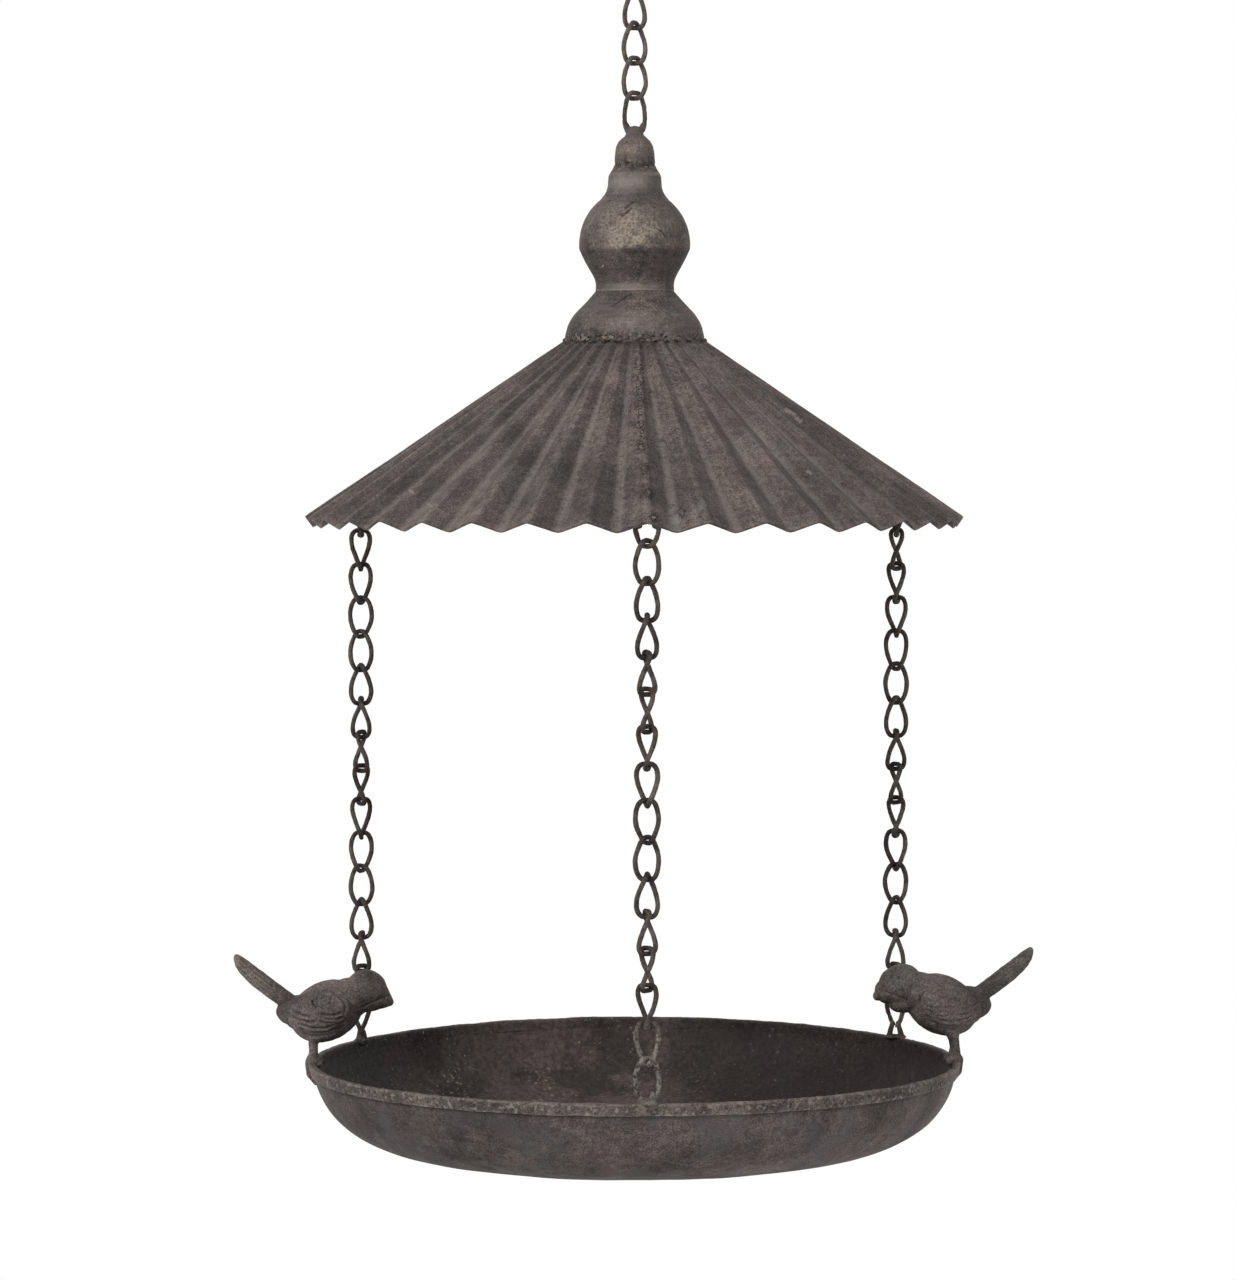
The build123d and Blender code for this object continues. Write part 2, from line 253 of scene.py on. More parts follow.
def smooth_line(points, steps=6):
    """Points of a smooth line through the given (radius, height) points."""
    ends = [points[0], *points, points[-1]]
    line = []
    for a, b, c, d in zip(ends, ends[1:], ends[2:], ends[3:]):
        a, b, c, d = (np.array(p, float) for p in (a, b, c, d))
        for t in np.linspace(0, 1, steps, endpoint=False):
            curve = (2 * a - 5 * b + 4 * c - d) * t**2 + (3 * b - a - 3 * c + d) * t**3
            line.append(0.5 * (2 * b + (c - a) * t + curve))
    line.append(np.array(points[-1], float))
    return [tuple(p) for p in line]


def bend(centre, radius, start, stop, steps):
    """Points along an arc, angles in degrees."""
    angles = np.radians(np.linspace(start, stop, steps))
    return [(centre[0] + radius * math.cos(a), centre[1] + radius * math.sin(a)) for a in angles]


def tangent_bend(start, way, end, steps):
    """Points along the arc that leaves start in the given direction and reaches end."""
    start, end, way = (np.array(p, float) for p in (start, end, way))
    way /= np.linalg.norm(way)
    chord = end - start
    side = np.array([-way[1], way[0]])
    across = chord @ side
    if abs(across) < 1e-9:
        return [tuple(start + chord * t) for t in np.linspace(0, 1, steps)]
    radius = chord @ chord / (2 * across)
    centre = start + side * radius
    first = math.atan2(*(start - centre)[::-1])
    last = math.atan2(*(end - centre)[::-1])
    turn = (last - first + math.pi) % (2 * math.pi) - math.pi
    angles = first + turn * np.linspace(0, 1, steps)
    return [tuple(centre + abs(radius) * np.array([math.cos(a), math.sin(a)])) for a in angles]


def shell(outer, thickness):
    """Closed outline of a sheet from its outer line, which runs downwards."""
    line = np.array(outer)
    along = np.gradient(line, axis=0)
    along /= np.linalg.norm(along, axis=1)[:, None]
    inward = np.stack([along[:, 1], -along[:, 0]], axis=1)
    inner = line + inward * thickness
    inner[:, 0] = np.maximum(inner[:, 0], 0.05 * MM)
    return [tuple(p) for p in line] + [tuple(p) for p in inner[::-1]]


def lathe(name, outline, steps, values=None, loop=True):
    """Mesh turned about Z from an outline; values are painted on it point by point of the outline."""
    angles = np.linspace(0, 2 * math.pi, steps, endpoint=False)
    cosines, sines = np.cos(angles), np.sin(angles)
    verts, rings, marks = [], [], []
    for i, (radius, height) in enumerate(outline):
        start = len(verts)
        if radius < 1e-7:
            verts.append((0, 0, height))
            rings.append([start] * steps)
            marks.append(i)
            continue
        for c, s in zip(cosines, sines):
            verts.append((radius * c, radius * s, height))
            marks.append(i)
        rings.append(list(range(start, start + steps)))
    faces = []
    pairs = list(zip(rings, rings[1:]))
    if loop:
        pairs.append((rings[-1], rings[0]))
    for low, high in pairs:
        for k in range(steps):
            n = (k + 1) % steps
            corners = [low[k], low[n], high[n], high[k]]
            face = list(dict.fromkeys(corners))
            if len(face) > 2:
                faces.append(face)
    mesh = bpy.data.meshes.new(name)
    mesh.from_pydata(verts, [], faces)
    face_outwards(mesh)
    for key, line in (values or {}).items():
        paint(mesh, key, np.array(line, float)[marks])
    return mesh


def face_outwards(mesh):
    """Turns every face outwards."""
    bm = bmesh.new()
    bm.from_mesh(mesh)
    bmesh.ops.recalc_face_normals(bm, faces=bm.faces)
    bm.to_mesh(mesh)
    bm.free()


def places(mesh):
    """Vertex places of a mesh as an array."""
    flat = np.zeros(len(mesh.vertices) * 3)
    mesh.vertices.foreach_get("co", flat)
    return flat.reshape(-1, 3)


def directions(mesh):
    """Vertex normals of a mesh as an array."""
    flat = np.zeros(len(mesh.vertices) * 3)
    mesh.vertex_normals.foreach_get("vector", flat)
    return flat.reshape(-1, 3)


def move_to(mesh, where):
    """Writes vertex places back."""
    mesh.vertices.foreach_set("co", np.ascontiguousarray(where, np.float32).ravel())
    mesh.update()


def paint(mesh, key, values):
    """Writes one number for each vertex under the given name."""
    layer = mesh.attributes.get(key) or mesh.attributes.new(key, "FLOAT", "POINT")
    layer.data.foreach_set("value", np.ascontiguousarray(values, np.float32).ravel())


def read(mesh, key):
    """Painted numbers of a mesh as an array."""
    values = np.zeros(len(mesh.vertices), np.float32)
    mesh.attributes[key].data.foreach_get("value", values)
    return values


def hump(values, middle, width):
    """1 where a value is at the middle, fading to both sides of it over the width."""
    return np.exp(-(((values - middle) / width) ** 2))


def grain(where, size, seed):
    """Smooth noise from -1 to 1 at each place, with lumps of about the given size."""
    shift = Vector((seed * 17.3, seed * 5.9, seed * 11.1))
    return np.array([noise.noise(Vector(p) / size + shift) for p in where])


def roughen(mesh, amount, size, seed):
    """Moves the surface in and out by noise."""
    where = places(mesh)
    move_to(mesh, where + directions(mesh) * (amount * grain(where, size, seed))[:, None])


def mark_edges(mesh, radius, blur=2, wear=1.0, grime=1.0):
    """Paints rubbed edges with a painted highlight about as tight as the given radius, and grimy hollows with
    painted shade as tight.
    """
    where, facing = places(mesh), directions(mesh)
    flat = np.zeros(len(mesh.edges) * 2, np.int64)
    mesh.edges.foreach_get("vertices", flat)
    a, b = flat.reshape(-1, 2).T
    step = where[b] - where[a]
    length = np.maximum((step * step).sum(1), 1e-14)
    curve = ((facing[b] - facing[a]) * step).sum(1) / length
    count = np.bincount(a, minlength=len(where)) + np.bincount(b, minlength=len(where))
    count = np.maximum(count, 1)

    def shared(values_a, values_b):
        total = np.bincount(a, values_a, len(where)) + np.bincount(b, values_b, len(where))
        return total / count

    bent = shared(curve, curve)
    for _ in range(blur):
        bent = 0.5 * bent + 0.5 * shared(bent[b], bent[a])
    paint(mesh, "wear", np.clip(bent * radius - 0.25, 0, 1) * wear)
    paint(mesh, "grime", np.clip(-bent * radius - 0.15, 0, 1) * grime)


def piece(name, mesh, material, slot, *nodes, sharp=40.0):
    """A finished piece that rides on its nodes' body and stands for them."""
    mesh.name = name
    mesh.materials.clear()
    mesh.materials.append(material)
    mesh.shade_smooth()
    mesh.set_sharp_from_angle(angle=math.radians(sharp))
    made = bpy.data.objects.new(name, mesh)
    bpy.context.scene.collection.objects.link(made)
    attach(made, BODY_OF[nodes[0]])
    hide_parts(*nodes)
    return made


def evaluated(mesh, *modifiers):
    """The plain mesh that a run of modifiers makes from a mesh."""
    scratch = bpy.data.objects.new("scratch", mesh)
    bpy.context.scene.collection.objects.link(scratch)
    for kind, settings in modifiers:
        modifier = scratch.modifiers.new(kind, kind)
        for key, value in settings.items():
            setattr(modifier, key, value)
    return taken(scratch)


def taken(scratch):
    """The plain mesh of a scratch object, which is then removed."""
    made = bpy.data.meshes.new_from_object(scratch.evaluated_get(bpy.context.evaluated_depsgraph_get()))
    bpy.data.objects.remove(scratch)
    return made


def grown(tree, values, base=None):
    """The plain mesh that a geometry tree grows, its inputs set by their identifiers."""
    scratch = bpy.data.objects.new("scratch", base or bpy.data.meshes.new("scratch"))
    bpy.context.scene.collection.objects.link(scratch)
    modifier = scratch.modifiers.new("Grow", "NODES")
    modifier.node_group = tree
    for item in tree.interface.items_tree:
        if item.item_type == "SOCKET" and item.in_out == "INPUT" and item.name in values:
            modifier[item.identifier] = values[item.name]
    scratch.update_tag()
    return taken(scratch)


def joined(*meshes):
    """One mesh from several, with the painted values kept."""
    bm = bmesh.new()
    for mesh in meshes:
        bm.from_mesh(mesh)
    made = bpy.data.meshes.new("joined")
    bm.to_mesh(made)
    bm.free()
    return made


# Lumps that are fused into one casting or weld


class Lumps:
    """Overlapping rounds and pegs, in millimetres, fused into one closed skin."""

    def __init__(self):
        self.bm = bmesh.new()

    def ball(self, centre, sizes, tilt=0.0, splay=0.0):
        """Egg of the given overall sizes, tilted nose up and turned about Z, both in degrees."""
        turn = Matrix.Rotation(math.radians(splay), 4, "Z") @ Matrix.Rotation(math.radians(-tilt), 4, "Y")
        size = Matrix.Diagonal((sizes[0] / 2, sizes[1] / 2, sizes[2] / 2, 1))
        bmesh.ops.create_icosphere(
            self.bm, subdivisions=4, radius=1, matrix=Matrix.Translation(centre) @ turn @ size
        )

    def peg(self, start, end, start_radius, end_radius, rounded=True):
        """Round peg between two places, with a ball at each end if it is rounded."""
        start, end = Vector(start), Vector(end)
        way = end - start
        turn = way.to_track_quat("Z", "Y").to_matrix().to_4x4()
        bmesh.ops.create_cone(
            self.bm,
            cap_ends=True,
            segments=32,
            radius1=start_radius,
            radius2=end_radius,
            depth=way.length,
            matrix=Matrix.Translation((start + end) / 2) @ turn,
        )
        for centre, radius in ((start, start_radius), (end, end_radius)):
            if rounded:
                self.ball(centre, (2 * radius,) * 3)

    def spoon(self, start, tilt, stations):
        """Blade along a tilted line from (distance, width, thickness, shift upwards) stations."""
        turn = Matrix.Translation(start) @ Matrix.Rotation(math.radians(tilt - 90), 4, "Y")
        steps, squareness = 40, 0.8
        rings = []
        for along, width, thickness, shift in stations:
            ring = []
            for k in range(steps):
                a = 2 * math.pi * k / steps
                c, s = math.cos(a), math.sin(a)
                c = math.copysign(abs(c) ** squareness, c)
                s = math.copysign(abs(s) ** squareness, s)
                ring.append(self.bm.verts.new(turn @ Vector((shift + thickness / 2 * c, width / 2 * s, along))))
            rings.append(ring)
        for low, high in zip(rings, rings[1:]):
            for k in range(steps):
                n = (k + 1) % steps
                self.bm.faces.new((low[k], low[n], high[n], high[k]))
        self.bm.faces.new(rings[0][::-1])
        self.bm.faces.new(rings[-1])

    def add(self, mesh, scale):
        """Takes in a closed mesh."""
        copy = mesh.copy()
        copy.transform(Matrix.Scale(scale, 4))
        self.bm.from_mesh(copy)
        bpy.data.meshes.remove(copy)

    def fused(self, voxel, smoothing):
        """The fused skin, still in millimetres."""
        rough = bpy.data.meshes.new("lumps")
        bmesh.ops.recalc_face_normals(self.bm, faces=self.bm.faces)
        self.bm.to_mesh(rough)
        self.bm.free()
        return evaluated(
            rough,
            ("REMESH", {"mode": "VOXEL", "voxel_size": voxel}),
            ("SMOOTH", {"factor": 0.5, "iterations": smoothing}),
        )


# Node helpers


class Signal:
    """What comes out of one socket of a node tree, so that sums can be written with it."""

    def __init__(self, net, socket):
        self.net, self.socket = net, socket

    def __add__(self, other):
        return self.net.math("ADD", self, other)

    def __sub__(self, other):
        return self.net.math("SUBTRACT", self, other)

    def __rsub__(self, other):
        return self.net.math("SUBTRACT", other, self)

    def __mul__(self, other):
        return self.net.math("MULTIPLY", self, other)

    def __truediv__(self, other):
        return self.net.math("DIVIDE", self, other)

    def __pow__(self, other):
        return self.net.math("POWER", self, other)

    def __abs__(self):
        return self.net.math("ABSOLUTE", self)

    def larger(self, other):
        """The larger of two values."""
        return self.net.math("MAXIMUM", self, other)

    def stretch(self, low, high, out_low=0.0, out_high=1.0):
        """The value taken from one range to another, softly and within it."""
        inputs = {"Value": self, "From Min": low, "From Max": high, "To Min": out_low, "To Max": out_high}
        return self.net.out("ShaderNodeMapRange", inputs, "Result", interpolation_type="SMOOTHSTEP")

    def xyz(self):
        """The three numbers of a vector."""
        numbers = self.net.node("ShaderNodeSeparateXYZ", {0: self}).outputs
        return [Signal(self.net, number) for number in numbers]


class Net:
    """A node tree, with short calls for the nodes that go into it."""

    def __init__(self, tree):
        self.tree = tree

    def node(self, kind, inputs=None, **settings):
        """A node with its settings made and its inputs linked or set."""
        count = len(self.tree.nodes) + 1
        node = self.tree.nodes.new(kind)
        node.location = (180 * (count % 12), -220 * (count // 12))
        for key, value in settings.items():
            setattr(node, key, value)
        for key, value in (inputs or {}).items():
            self.feed(node.inputs[key], value)
        return node

    def out(self, kind, inputs=None, output=0, **settings):
        """What comes out of a new node."""
        return Signal(self, self.node(kind, inputs, **settings).outputs[output])

    def feed(self, socket, value):
        """Links a signal to a socket, or sets the socket to a plain value."""
        if isinstance(value, Signal):
            self.tree.links.new(value.socket, socket)
        else:
            socket.default_value = value

    def math(self, operation, *values, clamp=False):
        """Result of one sum."""
        return self.out("ShaderNodeMath", dict(enumerate(values)), operation=operation, use_clamp=clamp)

    def vector(self, operation, *values):
        """Result of one sum with vectors."""
        keys = (0, "Scale") if operation == "SCALE" else (0, 1)
        output = "Value" if operation in ("DOT_PRODUCT", "LENGTH") else "Vector"
        return self.out("ShaderNodeVectorMath", dict(zip(keys, values)), output, operation=operation)

    def combined(self, x=0.0, y=0.0, z=0.0):
        """A vector from three numbers."""
        return self.out("ShaderNodeCombineXYZ", {0: x, 1: y, 2: z})

    def place(self):
        """Object coordinates in a material, and a point's place in a geometry tree."""
        if self.tree.bl_idname == "GeometryNodeTree":
            return self.out("GeometryNodeInputPosition")
        return self.out("ShaderNodeTexCoord", output="Object")

    def noise(self, where, scale, detail, rough, seed):
        """Noise value at a place, moved by a seed."""
        moved = self.vector("ADD", where, (seed, seed * 0.7, seed * 1.3))
        inputs = {"Vector": moved, "Scale": scale, "Detail": detail, "Roughness": rough}
        return self.out("ShaderNodeTexNoise", inputs, noise_dimensions="3D")

    def painted(self, key, output="Fac"):
        """A painted value of the piece, or its vector."""
        settings = {"attribute_name": key, "attribute_type": "GEOMETRY"}
        return self.out("ShaderNodeAttribute", None, output, **settings)

    def mix(self, share, first, second, mode="MIX"):
        """Two colours mixed by a share."""
        settings = {"data_type": "RGBA", "blend_type": mode, "clamp_factor": True}
        return self.out("ShaderNodeMix", {0: share, 6: first, 7: second}, 2, **settings)

    def shaded(self, colour, shade):
        """A colour made lighter or darker by a factor."""
        return self.mix(1.0, colour, self.combined(shade, shade, shade), "MULTIPLY")

    def moved(self, geometry, **inputs):
        """A geometry with its points set to a Position or moved by an Offset."""
        return self.out("GeometryNodeSetPosition", {"Geometry": geometry, **inputs})

    def pushed(self, geometry, scale, amount, seed):
        """A geometry with its points pushed about by a smooth noise vector."""
        moved = self.vector("ADD", self.place(), (seed, 2 * seed, 3 * seed))
        inputs = {"Vector": moved, "Scale": scale, "Detail": 2.0}
        field = self.out("ShaderNodeTexNoise", inputs, "Color", noise_dimensions="3D")
        centred = self.vector("SUBTRACT", field, (0.5, 0.5, 0.5))
        return self.moved(geometry, Offset=self.vector("SCALE", centred, amount))

    def kept(self, geometry, key, value, kind="FLOAT"):
        """A geometry with a value stored on its points under a name."""
        inputs = {"Geometry": geometry, "Name": key, "Value": value}
        return self.out("GeometryNodeStoreNamedAttribute", inputs, data_type=kind, domain="POINT")

    def random_vector(self, low, high, seed):
        """A random vector for each point."""
        inputs = {"Min": low, "Max": high, "Seed": seed}
        return self.out("FunctionNodeRandomValue", inputs, data_type="FLOAT_VECTOR")

    def real(self, geometry):
        """A geometry with its instances made real."""
        return self.out("GeometryNodeRealizeInstances", {"Geometry": geometry})

    def close(self, geometry, material, out):
        """Ends a geometry tree in Realize Instances and Set Material."""
        inputs = {"Geometry": self.real(geometry), "Material": material}
        self.feed(out["Geometry"], self.out("GeometryNodeSetMaterial", inputs))
        return self.tree


def new_tree(name, kind, inputs, outputs):
    """An empty tree, the signals of its inputs and the sockets of its outputs, all by name.

    An input is given by its default, or by its kind of socket where it has none.
    """
    tree = bpy.data.node_groups.new(name, kind)
    kinds = {int: "Int", float: "Float", tuple: "Color"}
    for label, default in inputs.items():
        bare = isinstance(default, str)
        socket_type = "NodeSocket" + (default if bare else kinds[type(default)])
        socket = tree.interface.new_socket(label, in_out="INPUT", socket_type=socket_type)
        if not bare:
            socket.default_value = default
    for label, socket_kind in outputs.items():
        tree.interface.new_socket(label, in_out="OUTPUT", socket_type="NodeSocket" + socket_kind)
    net = Net(tree)
    given = {socket.name: Signal(net, socket) for socket in net.node("NodeGroupInput").outputs}
    return net, given, net.node("NodeGroupOutput").inputs


def shared_tree(name, maker):
    """A tree by name, made the first time that it is asked for."""
    return bpy.data.node_groups.get(name) or maker()


# Geometry trees

SHAPE = {"Geometry": "Geometry"}


def link_tree():
    """Grows a run of twisted wire links that hang from each other."""
    inputs = {
        "Count": 1,
        "First": 0.0,
        "Steps": float(CHAIN_STEPS),
        "Top": "Vector",
        "Pitch": 0.0158,
        "Wire": 0.0022,
        "Inner Length": 0.01605,
        "Inner Width": 0.0072,
        "Twist": math.pi / 2,
        "Base Angle": 0.0,
        "Turn": 0.0,
        "Ease": 1.25,
        "Hand Bend": 0.0,
        "Material": "Material",
    }
    net, given, out = new_tree("Twisted links", "GeometryNodeTree", inputs, SHAPE)
    squareness, pit_share = 0.52, 0.32
    half_length = (given["Inner Length"] + given["Wire"]) * 0.5
    half_width = (given["Inner Width"] + given["Wire"]) * 0.5
    ring = net.out("GeometryNodeCurvePrimitiveCircle", {"Resolution": 60, "Radius": 1.0})
    x, y, _ = net.place().xyz()
    across = abs(x) ** squareness * net.math("SIGN", x) * half_width
    lean = given["Twist"] * 0.5 * y
    bent = net.combined(across * net.math("COSINE", lean), across * net.math("SINE", lean), y * half_length)
    # Painted highlight along the middle of each link's sides, with some rubbing, and painted shade at its ends,
    # where the links meet.
    ring = net.kept(ring, "wear", abs(y).stretch(0.95, 0.4, 0.1, 0.55))
    ring = net.kept(ring, "grime", abs(y).stretch(0.84, 1.0, 0.0, 0.5))
    ring = net.moved(ring, Position=bent)
    section = net.out("GeometryNodeCurvePrimitiveCircle", {"Resolution": 14, "Radius": given["Wire"] * 0.5})
    link = net.out("GeometryNodeCurveToMesh", {"Curve": ring, "Profile Curve": section})
    drop = net.combined(z=given["Pitch"] * -1.0)
    inputs = {"Count": given["Count"], "Start Location": given["Top"], "Offset": drop}
    line = net.out("GeometryNodeMeshLine", inputs, mode="OFFSET", count_mode="TOTAL")
    number = net.out("GeometryNodeInputIndex") + given["First"]
    turn = given["Turn"] * (number / given["Steps"]) ** given["Ease"] + given["Base Angle"]
    inputs = {"Points": line, "Instance": link, "Rotation": net.combined(z=turn)}
    hung = net.real(net.out("GeometryNodeInstanceOnPoints", inputs))
    swayed = net.pushed(hung, 110.0, given["Hand Bend"], 3.1)
    pitted = net.pushed(swayed, 900.0, given["Hand Bend"] * pit_share, 7.7)
    return net.close(pitted, given["Material"], out)


def roof_tree():
    """Grows the outer face of a fluted cone, or a strip of it lifted off the sheet."""
    inputs = {
        "Rim Radius": 0.1485,
        "Top Radius": 0.027,
        "Apex Height": 0.0,
        "Slope": 0.7,
        "Flutes": 36,
        "Flute Share": 0.03,
        "Start": 0.0,
        "Sweep": 2 * math.pi,
        "Steps Around": 577,
        "Steps Down": 48,
        "Lean": 0.0,
        "Lift": 0.0,
        "Ripple": 0.0,
        "Material": "Material",
    }
    net, given, out = new_tree("Fluted roof", "GeometryNodeTree", inputs, SHAPE)
    steps = {"Vertices X": given["Steps Around"], "Vertices Y": given["Steps Down"]}
    grid = net.out("GeometryNodeMeshGrid", {"Size X": 1.0, "Size Y": 1.0, **steps})
    x, y, _ = net.place().xyz()
    around, down = x + 0.5, 0.5 - y
    angle = around * given["Sweep"] + given["Start"] + down * given["Lean"]
    count = angle * (given["Flutes"] / (2 * math.pi))
    four = abs(net.math("FRACT", count + 0.5) - 0.5) * 4.0
    ridge = net.math("SMOOTH_MIN", 1.0 - four, four + 1.0, 0.46)
    wave = net.math("SMOOTH_MAX", ridge, four - 3.0, 0.75)
    wide = wave * given["Flute Share"] + 1.0
    tangent = net.math("TANGENT", given["Slope"])
    square = tangent * tangent
    rim = given["Rim Radius"] * (square + 1.0) / (wide + square)
    mean = (rim - given["Top Radius"]) * down + given["Top Radius"]
    radius = mean * wide
    height = given["Apex Height"] - mean * tangent
    where = net.combined(radius * net.math("SINE", angle), radius * net.math("COSINE", angle) * -1.0, height)
    rubbed = wave.stretch(0.86, 1.0, 0.0, 0.42).larger(down.stretch(0.99, 1.0, 0.0, 0.4))
    sheet = net.kept(grid, "wear", rubbed)
    # Darker round the finial's foot at the top of the slope: painted shade, with some grimy darkening.
    sheet = net.kept(sheet, "grime", down.stretch(0.1, 0.02, 0.0, 0.5))
    # Lighter down the grooves, more so lower on the slope: a painted highlight, with some dust.
    sheet = net.kept(sheet, "dust", wave.stretch(-0.42, -0.93) * down.stretch(0.05, 0.4, 0.35, 1.0))
    sheet = net.kept(sheet, "crust", down.stretch(0.085, 0.03, 0.0, 0.8))
    sheet = net.kept(sheet, "slope", net.combined(count, down), "FLOAT_VECTOR")
    sheet = net.moved(sheet, Position=where)
    sheet = net.out("GeometryNodeMergeByDistance", {"Geometry": sheet, "Distance": 1e-6})
    sheet = net.moved(sheet, Offset=net.vector("SCALE", net.out("GeometryNodeInputNormal"), given["Lift"]))
    return net.close(net.pushed(sheet, 34.0, given["Ripple"], 1.3), given["Material"], out)


def weld_tree():
    """Grows a lumpy weld bead round a circle."""
    inputs = {"Radius": 0.0312, "Height": 0.0, "Lumps": 84, "Bead": 0.0017, "Seed": 4, "Material": "Material"}
    net, given, out = new_tree("Weld bead", "GeometryNodeTree", inputs, SHAPE)
    inputs = {"Resolution": given["Lumps"], "Radius": given["Radius"]}
    ring = net.out("GeometryNodeCurvePrimitiveCircle", inputs)
    dots = net.node("GeometryNodeCurveToPoints", {"Curve": ring, "Count": given["Lumps"]}, mode="COUNT").outputs
    lump = net.out("GeometryNodeMeshIcoSphere", {"Radius": given["Bead"], "Subdivisions": 2})
    sizes = net.random_vector((0.35, 0.3, 0.6), (1.05, 1.0, 1.7), given["Seed"])
    stray = net.random_vector((-0.0006, -0.0006, -0.001), (0.0004, 0.0004, 0.0009), given["Seed"])
    lifted = net.vector("ADD", stray, net.combined(z=given["Height"]))
    laid = net.moved(Signal(net, dots["Points"]), Offset=lifted)
    turned = Signal(net, dots["Rotation"])
    inputs = {"Points": laid, "Instance": lump, "Rotation": turned, "Scale": sizes}
    bead = net.real(net.out("GeometryNodeInstanceOnPoints", inputs))
    return net.close(net.pushed(bead, 620.0, 0.0009, 2.9), given["Material"], out)


def rivet_tree():
    """Grows a domed rivet head on each point, square to the roof's slope."""
    inputs = {"Places": "Geometry", "Head": 0.0015, "Slope": 0.6, "Seed": 2, "Material": "Material"}
    net, given, out = new_tree("Seam rivets", "GeometryNodeTree", inputs, SHAPE)
    head = net.out("GeometryNodeMeshUVSphere", {"Segments": 28, "Rings": 16, "Radius": given["Head"]})
    sizes = net.random_vector((0.66, 0.66, 0.3), (0.82, 0.82, 0.42), given["Seed"])
    lean = net.combined(given["Slope"])
    inputs = {"Points": given["Places"], "Instance": head, "Rotation": lean, "Scale": sizes}
    heads = net.real(net.out("GeometryNodeInstanceOnPoints", inputs))
    return net.close(net.pushed(heads, 700.0, 0.0003, 5.3), given["Material"], out)


# Aged iron

METAL = 0.2
SHINE = 0.14
BUMP_DEPTH = 0.6 * MM

# Colours of the stains and marks that lie over the iron
RUST = (0.105, 0.062, 0.043, 1)
SEED_DUST = (0.25, 0.225, 0.2, 1)
EYE_WELD = (0.16, 0.134, 0.12, 1)
PURPLE_STAIN = (0.118, 0.092, 0.088, 1)
PALE_HAZE_AND_SHEEN = (0.275, 0.24, 0.21, 1)
BULB_CHIP = (0.36, 0.35, 0.32, 1)
GROOVE_DUST_AND_SHEEN = (0.215, 0.19, 0.172, 1)
SCRAPE = (0.28, 0.232, 0.205, 1)
INSIDE_LEFT = (0.046, 0.043, 0.037, 1)
INSIDE_MIDDLE = (0.100, 0.074, 0.067, 1)
INSIDE_RIGHT = (0.021, 0.0165, 0.015, 1)
INSIDE_STAIN = (0.028, 0.024, 0.021, 1)
HUSK = (0.25, 0.225, 0.175, 1)
BLUE_BLOTCH = (0.078, 0.078, 0.08, 1)
BROWN_BLOTCH = (0.105, 0.07, 0.062, 1)
MOSS = (0.135, 0.132, 0.112, 1)
RIM_SPECK = (0.26, 0.228, 0.204, 1)

# Marks on the roof as (across, up) ends and a width in millimetres, the pitted ones with their strength
ROOF_SCRAPES = (
    ((66.4, -244.8), (70.1, -246.6), 1.1),
    ((70.7, -248.4), (72.4, -249.7), 1.0),
    ((72.3, -271.8), (73.4, -272.6), 0.7),
    ((-101.4, -280.2), (-100.2, -280.9), 0.8),
    ((-93.4, -286.0), (-92.0, -286.7), 0.8),
)
ROOF_PITTED = (
    ((0.0, -224.0), (-0.4, -246.0), 3.0, 0.75),
    ((-0.2, -250.5), (0.1, -256.3), 1.8, 0.95),
    ((-1.2, -259.4), (-0.8, -261.5), 1.6, 0.95),
    ((-13.4, -238.0), (-10.4, -247.0), 4.4, 0.5),
    ((-9.6, -253.0), (-9.2, -258.0), 3.0, 0.35),
    ((14.4, -256.0), (16.8, -262.0), 3.0, 0.3),
)
ROOF_RING = ((15.1, -289.2), (15.1, -288.6), 2.0)
# Heaps of husks in the dish, as their place across it and half their width in metres
HUSK_HEAPS = ((-0.084, 0.016), (-0.041, 0.011))


